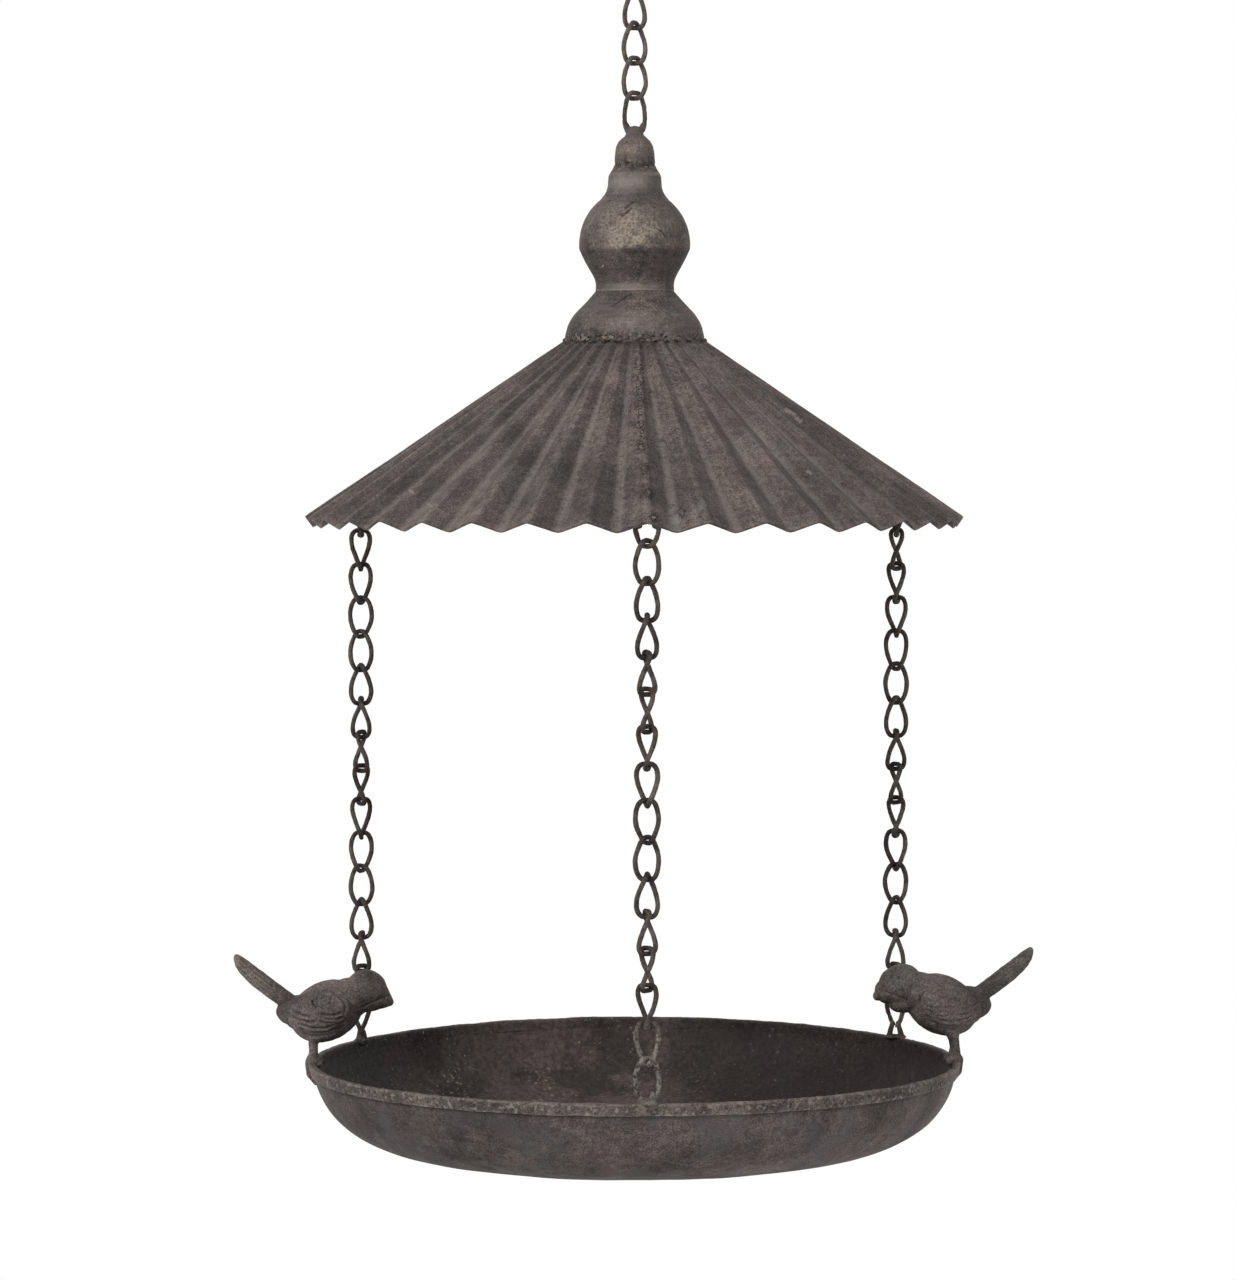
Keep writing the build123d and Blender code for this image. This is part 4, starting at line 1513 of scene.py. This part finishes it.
class FEEDER_OT_weld(bpy.types.Operator):
    """Make the lumpy weld round the finial's foot."""

    bl_idname = "feeder.weld"
    bl_label = "Foot weld"

    def execute(self, context):
        roof = context.scene.feeder_roof
        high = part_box("finial_weld")[1]
        values = {
            "Radius": roof.flare_radius + 0.1 * MM,
            "Height": high.z - roof.weld_bead,
            "Lumps": roof.weld_lumps,
            "Bead": 0.75 * roof.weld_bead,
            "Seed": 4,
            "Material": finial_material(),
        }
        mesh = grown(shared_tree("Weld bead", weld_tree), values)
        lumps = Lumps()
        lumps.add(mesh, 1 / MM)
        mesh = lumps.fused(0.34, 2)
        mesh.transform(Matrix.Scale(MM, 4))
        roughen(mesh, 0.3 * MM, 1.3 * MM, 14)
        where = places(mesh)
        paint(mesh, "wear", np.clip(grain(where, 1.7 * MM, 16) * 3.0 - 0.9, 0, 1))
        paint(mesh, "grime", np.clip(grain(where, 2.3 * MM, 15) * 2.6 - 0.5, 0, 1))
        paint(mesh, "crust", np.full(len(where), 0.85))
        piece("foot_weld", mesh, finial_material(), "finial_sheet", "finial_weld")
        return {"FINISHED"}


def rivet_places():
    """Middle of each rivet of the CAD node."""
    groups = []
    for place in places(frame["nodes"]["seam_rivets"].data):
        near = [g for g in groups if np.linalg.norm(g[0] - place) < 4 * MM]
        if near:
            near[0].append(place)
        else:
            groups.append([place])
    return [tuple((np.min(g, axis=0) + np.max(g, axis=0)) / 2) for g in groups]


def roof_values(roof):
    """Inputs of the roof tree for the whole sheet."""
    mean = roof.radius - roof.depth / 2 * math.sin(roof.pitch)
    flare_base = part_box("finial_weld")[1].z - roof.weld_bead
    apex = flare_base + roof.flare_radius * math.tan(roof.pitch)
    return {
        "Rim Radius": mean,
        "Top Radius": roof.top_radius,
        "Apex Height": apex,
        "Slope": roof.pitch,
        "Flutes": roof.flutes,
        "Flute Share": roof.depth / (2 * math.sin(roof.pitch) * mean),
        "Start": 0.0,
        "Sweep": 2 * math.pi,
        "Steps Around": roof.flutes * 16 + 1,
        "Steps Down": 52,
        "Lean": 0.0,
        "Lift": 0.0,
        "Ripple": roof.ripple,
        "Material": roof_material(),
    }


class FEEDER_OT_roof(bpy.types.Operator):
    """Make the fluted roof sheet with its lap seam."""

    bl_idname = "feeder.roof"
    bl_label = "Fluted roof"

    def execute(self, context):
        roof = context.scene.feeder_roof
        tree = shared_tree("Fluted roof", roof_tree)
        values = roof_values(roof)
        sheet = self.thickened(grown(tree, values), roof.sheet)
        values.update(
            {
                "Start": math.radians(-4.2),
                "Sweep": math.radians(5.6),
                "Steps Around": 22,
                "Lean": math.radians(-0.8),
                "Lift": 0.45 * MM,
            }
        )
        mesh = joined(sheet, self.thickened(grown(tree, values), 0.5 * MM))
        paint(mesh, "outer", (directions(mesh)[:, 2] > 0).astype(float))
        piece("fluted_roof", mesh, roof_material(), "roof_sheet", "roof", sharp=55.0)
        return {"FINISHED"}

    def thickened(self, mesh, sheet):
        """Turns the faces up, where the tree left them facing down, and gives them a thickness below."""
        flat = np.zeros(len(mesh.polygons) * 3)
        mesh.polygons.foreach_get("normal", flat)
        if flat.reshape(-1, 3)[:, 2].mean() < 0:
            mesh.flip_normals()
        return evaluated(mesh, ("SOLIDIFY", {"thickness": sheet, "offset": -1.0, "use_even_offset": True}))


class FEEDER_OT_rivets(bpy.types.Operator):
    """Make the rivets along the roof's lap seam."""

    bl_idname = "feeder.rivets"
    bl_label = "Seam rivets"

    def execute(self, context):
        roof = context.scene.feeder_roof
        dots = bpy.data.meshes.new("rivet places")
        dots.from_pydata(rivet_places(), [], [])
        values = {"Head": roof.rivet_radius, "Slope": roof.pitch, "Seed": 2, "Material": roof_material()}
        mesh = grown(shared_tree("Seam rivets", rivet_tree), values, dots)
        face_outwards(mesh)
        paint(mesh, "wear", np.full(len(mesh.vertices), 0.3))
        piece("seam_rivet_heads", mesh, roof_material(), "roof_sheet", "seam_rivets")
        return {"FINISHED"}


# Runs of a long chain, as node, number of links and the step of the first one
CHAIN_RUNS = (("top_link", 1, 1), ("chain", CHAIN_STEPS - 3, 2), ("bottom_link", 1, CHAIN_STEPS - 1))


def chain_place(side):
    """Where a long chain hangs, seen from above."""
    middle = sum(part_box(f"{side}_chain"), Vector()) / 2
    return middle.x, middle.y


class FEEDER_OT_chains(bpy.types.Operator):
    """Make the three long chains, with their first and last links as pieces of their own."""

    bl_idname = "feeder.chains"
    bl_label = "Long chains"

    def execute(self, context):
        sizes = context.scene.feeder_links
        for side in SIDES:
            base = math.radians(AZIMUTH[side] + 90 - TURNED_BACK[side])
            turn = sizes.turn + math.radians(TURNED_BACK[side])
            for part, count, first in CHAIN_RUNS:
                node = f"{side}_{part}"
                x, y = chain_place(side)
                top = (x, y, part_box(node)[1].z - sizes.wire / 2 - link_half_length())
                mesh = grown_links(count, first, top, base, turn, HAND[side])
                piece(f"{node}_wire", mesh, wire_material(), "chain_wire", node)
        return {"FINISHED"}


class FEEDER_OT_eyes(bpy.types.Operator):
    """Make the eyes under the roof and on the rim, with the welds that hold them."""

    bl_idname = "feeder.eyes"
    bl_label = "Chain eyes"

    def execute(self, context):
        turn = context.scene.feeder_links.turn
        wire = context.scene.feeder_links.wire
        reach = wire / 2 + link_half_length()
        for i, side in enumerate(SIDES):
            azimuth = math.radians(AZIMUTH[side])
            x, y = chain_place(side)
            tangent = Vector((-math.sin(azimuth), math.cos(azimuth), 0))
            out = Vector((math.cos(azimuth), math.sin(azimuth), 0))

            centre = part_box(f"{side}_roof_eye")[0].z + reach
            eye = grown_links(1, 0, (x, y, centre), azimuth + math.pi / 2, turn, HAND[side])
            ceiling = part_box(f"{side}_roof_eye")[1].z - 0.9 * MM
            lumps = Lumps()
            lumps.add(trimmed(eye, ceiling - 0.4 * MM, False), 1 / MM)
            for k in (-1, 1):
                foot = (Vector((x, y, ceiling)) + tangent * k * 4.2 * MM) / MM
                lumps.ball(foot - Vector((0, 0, 1.5)), (4.4, 4.4, 2.8))
            self.finish_eye(lumps, f"{side}_roof_eye_wire", f"{side}_roof_eye", 20 + i)

            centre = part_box(f"{side}_rim_eye")[1].z - reach
            eye = grown_links(1, CHAIN_STEPS, (x, y, centre), azimuth + math.pi / 2, turn, HAND[side])
            deck = (RIM_TOP + float(sag(x, y))) / MM
            lumps = Lumps()
            spread, at_rim, above, tall, clear = EYE_FEET[side]
            lumps.add(trimmed(eye, RIM_TOP + clear * MM, True), 1 / MM)
            middle = Vector((x, y, 0)) / MM
            low_angle = azimuth + math.radians(90 - 45 * HAND[side] + spread)
            low_way = Vector((math.cos(low_angle), math.sin(low_angle), 0))
            pad = (11.0, 5.4, 3.6 if above > at_rim else 2.6)
            lumps.ball(middle + Vector((0, 0, deck + 0.4)), pad, splay=math.degrees(low_angle))
            for k in (-1, 1):
                start = middle + low_way * k * at_rim + Vector((0, 0, deck - 0.2))
                stop = middle + low_way * k * above + Vector((0, 0, deck + tall))
                lumps.peg(start, stop, 2.4 if above > at_rim else 1.4, 1.1)
            weld = middle + out * 2.6 + Vector((0, 0, deck - 2.2))
            lumps.ball(weld, (2.4, 9.0, 5.6), splay=math.degrees(azimuth))
            self.finish_eye(lumps, f"{side}_rim_eye_wire", f"{side}_rim_eye", 30 + i)
        return {"FINISHED"}

    def finish_eye(self, lumps, name, node, seed):
        """Fuses the lumps of one eye and roughens them."""
        mesh = lumps.fused(0.24, 5)
        mesh.transform(Matrix.Scale(MM, 4))
        roughen(mesh, 0.2 * MM, 2.2 * MM, seed)
        mark_edges(mesh, 1.0 * MM, 3, 0.7, 1.0)
        piece(name, mesh, wire_material(), "chain_wire", node)


class FEEDER_OT_dish(bpy.types.Operator):
    """Make the shallow dish."""

    bl_idname = "feeder.dish"
    bl_label = "Dish"

    def execute(self, context):
        dish = context.scene.feeder_dish
        wall_radius = dish.radius - dish.rim_width + dish.sheet + 0.1 * MM
        outer = self.line(dish, wall_radius, 0.0)
        inner = self.line(dish, wall_radius, dish.sheet)
        outline = inner[::-1] + outer
        inside = np.array([1.0] * len(inner) + [0.0] * len(outer))
        heights = np.array(outline)[:, 1]
        # Painted shade with some grimy darkening in the inside corner and on the wall just under the rim band.
        corner = inside * hump(heights, DISH_BASE + 5 * MM, 9 * MM) * 0.4
        tuck = (1 - inside) * np.clip((heights - RIM_LOW + 2 * MM) / (2 * MM), 0, 1) * 0.9
        scuff = (1 - inside) * hump(heights, DISH_BASE + 6 * MM, 7 * MM) * 0.16
        marks = {"inside": inside, "grime": corner + tuck, "wear": scuff}
        mesh = lathe("dish", outline, 288, marks, loop=False)
        self.stir(mesh)
        piece("dish", mesh, dish_material(), "dish_sheet", "dish_bottom", "dish_corner", "dish_wall")
        return {"FINISHED"}

    def line(self, dish, wall_radius, inset):
        """Outline of one face of the sheet from the rim down to the middle of the bottom."""
        angle = math.degrees(dish.corner_angle)
        centre = (dish.base_radius, DISH_BASE + dish.corner_radius)
        radius = dish.corner_radius - inset
        corner = bend(centre, radius, -90, -90 + angle, 20)
        wall = tangent_bend(
            corner[-1],
            (math.cos(dish.corner_angle), math.sin(dish.corner_angle)),
            (wall_radius - inset, RIM_LOW + 0.6 * MM),
            26,
        )
        floor = [(dish.base_radius * t, centre[1] - radius) for t in np.linspace(0, 1, 22)[:-1]]
        return (floor + corner + wall[1:])[::-1]

    def stir(self, mesh):
        """Leaves shallow hammer marks in the sheet and lets it sag."""
        roughen(mesh, 0.5 * MM, 38 * MM, 7)
        roughen(mesh, 0.12 * MM, 9 * MM, 8)
        where = places(mesh)
        up = np.clip((where[:, 2] - DISH_BASE) / (RIM_TOP - DISH_BASE), 0, 1)
        where[:, 2] += up * sag(where[:, 0], where[:, 1]) - (1 - up) * 0.5 * MM
        move_to(mesh, where)


class FEEDER_OT_rim(bpy.types.Operator):
    """Make the rim band round the dish."""

    bl_idname = "feeder.rim"
    bl_label = "Rim band"

    def execute(self, context):
        dish = context.scene.feeder_dish
        out, inn = dish.radius, dish.radius - dish.rim_width
        low_out = out - dish.rim_taper
        soft = 0.9 * MM
        corners = [
            ((out - soft, RIM_TOP - soft), soft, 90, -12),
            ((low_out - soft * 0.5, RIM_LOW + soft * 0.5), soft * 0.5, -12, -90),
            ((inn + soft * 0.5, RIM_LOW + soft * 0.5), soft * 0.5, -90, -180),
            ((inn + soft * 1.4, RIM_TOP - soft * 1.4), soft * 1.4, 180, 90),
        ]
        runs = [bend(centre, radius, start, stop, 9) for centre, radius, start, stop in corners]
        outline = []
        for run, after in zip(runs, runs[1:] + runs[:1]):
            first, last = np.array(run[-1]), np.array(after[0])
            outline += run + [tuple(first + (last - first) * t) for t in (0.2, 0.4, 0.6, 0.8)]
        mesh = lathe("rim", outline, 540)
        roughen(mesh, 0.3 * MM, 11 * MM, 17)
        roughen(mesh, 0.2 * MM, 2.6 * MM, 18)
        mark_edges(mesh, 1.5 * MM, 2, 0.95, 0.6)
        where = places(mesh)
        across = np.hypot(where[:, 0], where[:, 1])
        paint(mesh, "inside", np.clip((inn + 1.3 * MM - across) / (0.7 * MM), 0, 1))
        where[:, 2] += sag(where[:, 0], where[:, 1])
        move_to(mesh, where)
        piece("dish_rim_band", mesh, rim_material(), "dish_sheet", "dish_rim")
        return {"FINISHED"}


# Lines of the feathers and of the beak on a bird's side, in millimetres from between its feet
FEATHER_LINES = (
    ((3.0, 23.6), (9.4, 22.9), (13.8, 24.2)),
    ((5.6, 21.4), (10.2, 21.1), (14.6, 22.0)),
    ((3.4, 19.8), (9.0, 19.3), (12.9, 20.9)),
    ((-10.0, 21.0), (-3.8, 17.9), (3.0, 16.6), (8.8, 17.9), (14.6, 19.9)),
    ((-8.6, 18.2), (-2.7, 15.3), (3.0, 14.3), (8.3, 15.2), (13.4, 17.0)),
    ((-5.0, 14.8), (0.4, 13.0), (6.6, 13.4), (11.0, 14.8)),
    ((-9.5, 25.0), (-5.0, 22.9), (-0.6, 22.2)),
    ((-10.6, 22.8), (-6.0, 20.6), (-0.4, 19.6), (2.4, 20.4)),
    ((-0.2, 29.6), (0.6, 27.6), (1.8, 25.6)),
    ((9.6, 33.0), (13.6, 29.8), (15.0, 26.6), (14.4, 22.6)),
)
MOUTH_LINE = ((34.6, 30.4), (29.0, 28.6), (23.0, 26.0))
TAIL_ROOT = (-7.4, 0.0, 24.4)
TAIL_TILT = 37
TAIL_GROOVES = (-1.7, 0.3, 2.2)
# Each bird's node, turn, how far its legs are stretched in millimetres and how crisp its feathers are
BIRDS = (("left_bird", 0.0, 0.0, 1.0), ("right_bird", math.pi, 1.7, 0.6))


class FEEDER_OT_birds(bpy.types.Operator):
    """Make the two cast birds on the rim."""

    bl_idname = "feeder.birds"
    bl_label = "Cast birds"

    def execute(self, context):
        dish = context.scene.feeder_dish
        for seed, (node, turn, stretched, crisp) in enumerate(BIRDS):
            mesh = self.cast(stretched).fused(0.34, 9)
            rubbed = self.carve(mesh, 50 + 10 * seed, crisp)
            mesh.transform(Matrix.Scale(MM, 4))
            roughen(mesh, 0.16 * MM, 2.4 * MM, 40 + seed)
            mark_edges(mesh, 1.3 * MM, 2, 0.7, 1.2)
            # Edges lightened by rubbing and a painted highlight, hollows darkened by painted shade with some
            # grimy darkening, and the less crisp bird darker all over.
            paint(mesh, "wear", np.maximum(read(mesh, "wear"), rubbed) * crisp)
            paint(mesh, "grime", np.maximum(read(mesh, "grime"), 0.6 * (1 - crisp)))
            foot = RIM_TOP + float(sag(1.0, 0.0)) + stretched * MM
            perch = Matrix.Translation((2 * MM - dish.radius, 0, foot))
            mesh.transform(Matrix.Rotation(turn, 4, "Z") @ perch)
            piece(f"{node}_casting", mesh, bird_material(), "cast_birds", node)
        return {"FINISHED"}

    def cast(self, stretched):
        """Rough casting, looking along +X, with its feet on the rim below it and its legs stretched."""
        cast = Lumps()
        cast.ball((6.1, 0, 23.1), (35, 26, 27), tilt=26.8)
        cast.ball((-6, 0, 23.1), (22, 18, 14.6))
        cast.ball((-6, 0, 20.4), (17, 15, 13), tilt=-30)
        cast.ball((17, 0, 28.3), (18, 21, 17))
        cast.ball((16.0, 0, 30.6), (20, 18, 15.2), tilt=12)
        cast.ball((24, 0, 32.2), (19.6, 19.2, 19.6))
        cast.peg((30.2, 0, 29.2), (36.5, 0, 26.25), 7.0, 0.9, rounded=False)
        cast.spoon(
            TAIL_ROOT,
            TAIL_TILT,
            [
                (0, 8, 8.0, 0),
                (6, 8.4, 7.8, 0.1),
                (14, 9.4, 8.0, 0),
                (22, 9.8, 8.0, 0),
                (27, 9.2, 7.4, 0.3),
                (31, 8.4, 6.6, 0.7),
                (34, 7.4, 5.4, 1.3),
                (36.2, 5.6, 3.4, 2.0),
                (37.4, 3.0, 1.4, 2.5),
            ],
        )
        if stretched:
            cast.ball((28.0, 0, 32.6), (13.8, 14, 15))
            cast.ball((31.4, 0, 29.8), (10.8, 9.4, 10.6))
            cast.peg((31, 0, 29.0), (35.3, 0, 27.2), 5.4, 2.3)
            cast.ball((22, 0, 25.6), (18, 14, 12), tilt=-14)
            cast.ball((-6.3, 0, 27.8), (14, 10, 7.8))
        for side in (-1, 1):
            cast.ball((2.6, side * 10.4, 23.8), (29, 6.4, 18), tilt=14, splay=side * 8)
            leg = side * 4.5
            low, lean = -stretched, 0.55 * stretched
            cast.peg((-0.9 * lean, leg, low + 0.4), (lean, leg, 12), 1.95, 2.1)
            cast.peg((0.1 + 0.5 * lean, leg, 8.6 - lean), (1.0 + lean, leg, 13.2), 2.0 + 0.3 * lean, 4.4)
            cast.peg((0, leg, low + 3.2), (-0.3, leg, low + 0.9), 2.0, 2.8)
            cast.ball((-0.1, leg, low + 0.7), (6.8, 6.2, 4.0))
            cast.peg((-1.2, leg, low - 0.2), (-0.7, leg, low - 4.8), 2.5, 2.5)
            cast.peg((-0.7, leg, low - 4.8), (1.4, leg, low - 9.0), 2.5, 1.5)
            cast.ball((2.3, leg, low - 0.5), (4.0, 4.6, 4.2))
        return cast

    def carve(self, mesh, seed, crisp):
        """Cuts feathers, eyes, beak line and tail grooves as crisply as asked; returns the rubbed places."""
        where, facing = places(mesh), directions(mesh)
        x, y, z = where.T
        stray = np.stack([grain(where, 2.6, seed), grain(where, 2.6, seed + 1)], axis=1)
        flat = where[:, [0, 2]] + 0.4 * stray
        beside = np.clip((np.abs(y) - 3.0) / 4.0, 0, 1)
        depth = np.zeros(len(where))
        for line in FEATHER_LINES:
            away, share = self.distance(flat, line)
            faded = beside * np.clip(5 * np.minimum(share, 1 - share) + 0.15, 0, 1)
            depth -= faded * 0.5 * hump(away, 0.0, 0.55)
            depth += faded * 0.22 * hump(away, 1.3, 0.6)
        ring = np.hypot(flat[:, 0] - 6.4, flat[:, 1] - 29.4) + 0.5 * stray[:, 0]
        depth -= beside * 0.27 * np.cos(2 * math.pi * ring / 2.3) * hump(ring, 0.0, 3.8)
        downy = beside * hump(x, 1.0, 10.0) * hump(z, 28.5, 4.0)
        depth += downy * 0.4 * grain(where, 1.5, seed + 2)

        lean = math.radians(TAIL_TILT)
        back, up = x - TAIL_ROOT[0], z - TAIL_ROOT[2]
        along = math.sin(lean) * up - math.cos(lean) * back
        over = math.sin(lean) * back + math.cos(lean) * up
        tail = np.clip((along - 12) / 4, 0, 1) * np.clip((35.0 - along) / 3, 0, 1)
        tail = tail * np.clip((np.abs(y) - 1.2) / 2, 0, 1)
        for level in TAIL_GROOVES:
            centre = level + 0.0063 * np.clip(along - 20, 0, 20) ** 2
            depth -= tail * 0.42 * hump(over + 0.3 * stray[:, 0], centre, 0.5)

        eye = np.sqrt((x - 29.0) ** 2 + (np.abs(y) - 8.0) ** 2 + (z - 33.0) ** 2)
        depth += 0.12 * hump(eye, 0.0, 0.8) - 0.16 * hump(eye, 1.5, 0.5)
        depth -= (1 - crisp) * 2.6 * hump(eye, 0.0, 1.1)
        mouth = self.distance(flat, MOUTH_LINE)[0]
        depth -= 0.6 * hump(mouth, 0.0, 0.55) * np.clip((np.abs(y) - 0.5) / 1.5, 0, 1)
        jaw = hump(x, 29.5, 3.2) * hump(z - 0.3 * (x - 29.5), 27.0, 1.1)
        depth += jaw * 0.35 * grain(where, 1.3, seed + 3)
        move_to(mesh, where + facing * (crisp * depth)[:, None])
        rubbed_jaw = jaw * np.clip(0.5 + 1.5 * grain(where, 1.2, seed + 4), 0, 1)
        return 0.6 * rubbed_jaw + 0.3 * tail * np.clip(stray[:, 1] * 2, 0, 1)

    def distance(self, flat, line):
        """Distance of each (x, z) place from a smooth line through the points, and how far along it is."""
        points = np.array(smooth_line(line, 6))
        nearest, along = np.full(len(flat), np.inf), np.zeros(len(flat))
        for i, (a, b) in enumerate(zip(points, points[1:])):
            way = b - a
            share = np.clip((flat - a) @ way / (way @ way), 0, 1)
            away = np.linalg.norm(flat - a - share[:, None] * way, axis=1)
            along = np.where(away < nearest, (i + share) / (len(points) - 1), along)
            nearest = np.minimum(nearest, away)
        return nearest, along


# Name, place, target, size in metres and power in watts of each lamp
LAMPS = (
    ("key_lamp", (-1.9, -1.7, 0.9), (0, 0, -0.35), 1.3, 44),
    ("fill_lamp", (1.2, -2.1, 0.1), (0, 0, -0.4), 1.6, 12),
    ("top_lamp", (0.1, 0.3, 1.6), (0, 0, -0.3), 1.4, 9),
)
FLOOR_RADIUS = 1.15
WHITE = (1, 1, 1, 1)
# How bright the surround is where it lights the feeder; where it is looked at, it is white
SURROUND_LIGHT = 0.38


class FEEDER_OT_stage(bpy.types.Operator):
    """Set up the floor, the lamps, the white surround and the camera."""

    bl_idname = "feeder.stage"
    bl_label = "Stage"

    def execute(self, context):
        stage = context.scene.feeder_stage
        self.floor(stage.floor)
        self.surround()
        for name, place, target, size, power in LAMPS:
            self.lamp(name, place, target, size, power * stage.light)
        camera = bpy.data.cameras.new("photo_camera")
        camera.lens = stage.lens
        camera.sensor_width = 36
        camera.shift_x = stage.shift
        camera.clip_end = 50
        eye = bpy.data.objects.new("photo_camera", camera)
        eye.location = stage.camera_place
        eye.rotation_euler = (math.pi / 2 - stage.camera_tilt, 0, stage.camera_turn)
        context.scene.collection.objects.link(eye)
        context.scene.camera = eye
        context.scene.view_settings.view_transform = "Standard"
        return {"FINISHED"}

    def floor(self, height):
        """Round pale floor whose edge fades into the white surround."""
        bm = bmesh.new()
        bmesh.ops.create_circle(bm, cap_ends=True, segments=96, radius=FLOOR_RADIUS)
        bmesh.ops.translate(bm, verts=bm.verts, vec=(0, 0, height))
        mesh = bpy.data.meshes.new("floor")
        bm.to_mesh(mesh)
        bm.free()
        material = bpy.data.materials.new("pale_floor")
        material.use_nodes = True
        net = Net(material.node_tree)
        shader = net.tree.nodes["Principled BSDF"]
        shader.inputs["Base Color"].default_value = (0.86, 0.86, 0.86, 1)
        shader.inputs["Roughness"].default_value = 0.9
        away = net.vector("LENGTH", net.vector("MULTIPLY", net.place(), (1, 1, 0)))
        white = net.out("ShaderNodeEmission", {"Color": WHITE, "Strength": 1.0})
        fade = away.stretch(0.25, 1.1) * self.looked_at(net)
        mixed = net.out("ShaderNodeMixShader", {0: fade, 1: Signal(net, shader.outputs[0]), 2: white})
        net.feed(net.tree.nodes["Material Output"].inputs["Surface"], mixed)
        mesh.materials.append(material)
        floor = bpy.data.objects.new("floor", mesh)
        bpy.context.scene.collection.objects.link(floor)

    def surround(self):
        """World that looks white and gives a plain soft light."""
        world = bpy.data.worlds.new("white_surround")
        bpy.context.scene.world = world
        world.use_nodes = True
        net = Net(world.node_tree)
        ground = net.tree.nodes["Background"].inputs
        net.feed(ground["Color"], WHITE)
        net.feed(ground["Strength"], self.looked_at(net) * (1 - SURROUND_LIGHT) + SURROUND_LIGHT)

    def looked_at(self, net):
        """1 for what the camera sees, straight or in a reflection or through glass, and 0 for light."""
        path = net.node("ShaderNodeLightPath").outputs
        rays = ("Is Camera Ray", "Is Glossy Ray", "Is Transmission Ray")
        straight, mirrored, through = (Signal(net, path[ray]) for ray in rays)
        return straight.larger(mirrored).larger(through)

    def lamp(self, name, place, target, size, power):
        """Square soft lamp that looks at a place."""
        light = bpy.data.lights.new(name, "AREA")
        light.size = size
        light.energy = power
        lamp = bpy.data.objects.new(name, light)
        lamp.location = place
        way = Vector(target) - Vector(place)
        lamp.rotation_euler = way.to_track_quat("-Z", "Y").to_euler()
        bpy.context.scene.collection.objects.link(lamp)


class FEEDER_PT_panel(bpy.types.Panel):
    """Buttons and sizes of the feeder."""

    bl_idname = "FEEDER_PT_panel"
    bl_label = "Hanging feeder"
    bl_space_type = "VIEW_3D"
    bl_region_type = "UI"
    bl_category = "Feeder"

    def draw(self, context):
        for operator in OPERATORS:
            self.layout.operator(operator.bl_idname)
        for key in GROUPS:
            box = self.layout.box()
            box.label(text=GROUPS[key].__name__)
            group = getattr(context.scene, key)
            for name in GROUPS[key].__annotations__:
                box.prop(group, name)


GROUPS = {
    "feeder_links": FeederLinks,
    "feeder_roof": FeederRoof,
    "feeder_dish": FeederDish,
    "feeder_iron": FeederIron,
    "feeder_stage": FeederStage,
}
OPERATORS = (
    FEEDER_OT_hook,
    FEEDER_OT_top_links,
    FEEDER_OT_finial,
    FEEDER_OT_weld,
    FEEDER_OT_roof,
    FEEDER_OT_rivets,
    FEEDER_OT_chains,
    FEEDER_OT_eyes,
    FEEDER_OT_dish,
    FEEDER_OT_rim,
    FEEDER_OT_birds,
    FEEDER_OT_stage,
)


def register():
    """Registers the sizes, the buttons and the panel."""
    for key, group in GROUPS.items():
        bpy.utils.register_class(group)
        setattr(bpy.types.Scene, key, PointerProperty(type=group))
    for operator in OPERATORS:
        bpy.utils.register_class(operator)
    bpy.utils.register_class(FEEDER_PT_panel)


def unregister():
    """Takes back what register did."""
    bpy.utils.unregister_class(FEEDER_PT_panel)
    for operator in reversed(OPERATORS):
        bpy.utils.unregister_class(operator)
    for key, group in reversed(GROUPS.items()):
        delattr(bpy.types.Scene, key)
        bpy.utils.unregister_class(group)


def main():
    """Makes every piece and the stage."""
    register()
    bpy.ops.feeder.hook()
    bpy.ops.feeder.top_links()
    bpy.ops.feeder.finial()
    bpy.ops.feeder.weld()
    bpy.ops.feeder.roof()
    bpy.ops.feeder.rivets()
    bpy.ops.feeder.chains()
    bpy.ops.feeder.eyes()
    bpy.ops.feeder.dish()
    bpy.ops.feeder.rim()
    bpy.ops.feeder.birds()
    bpy.ops.feeder.stage()


if __name__ == "__main__":
    main()
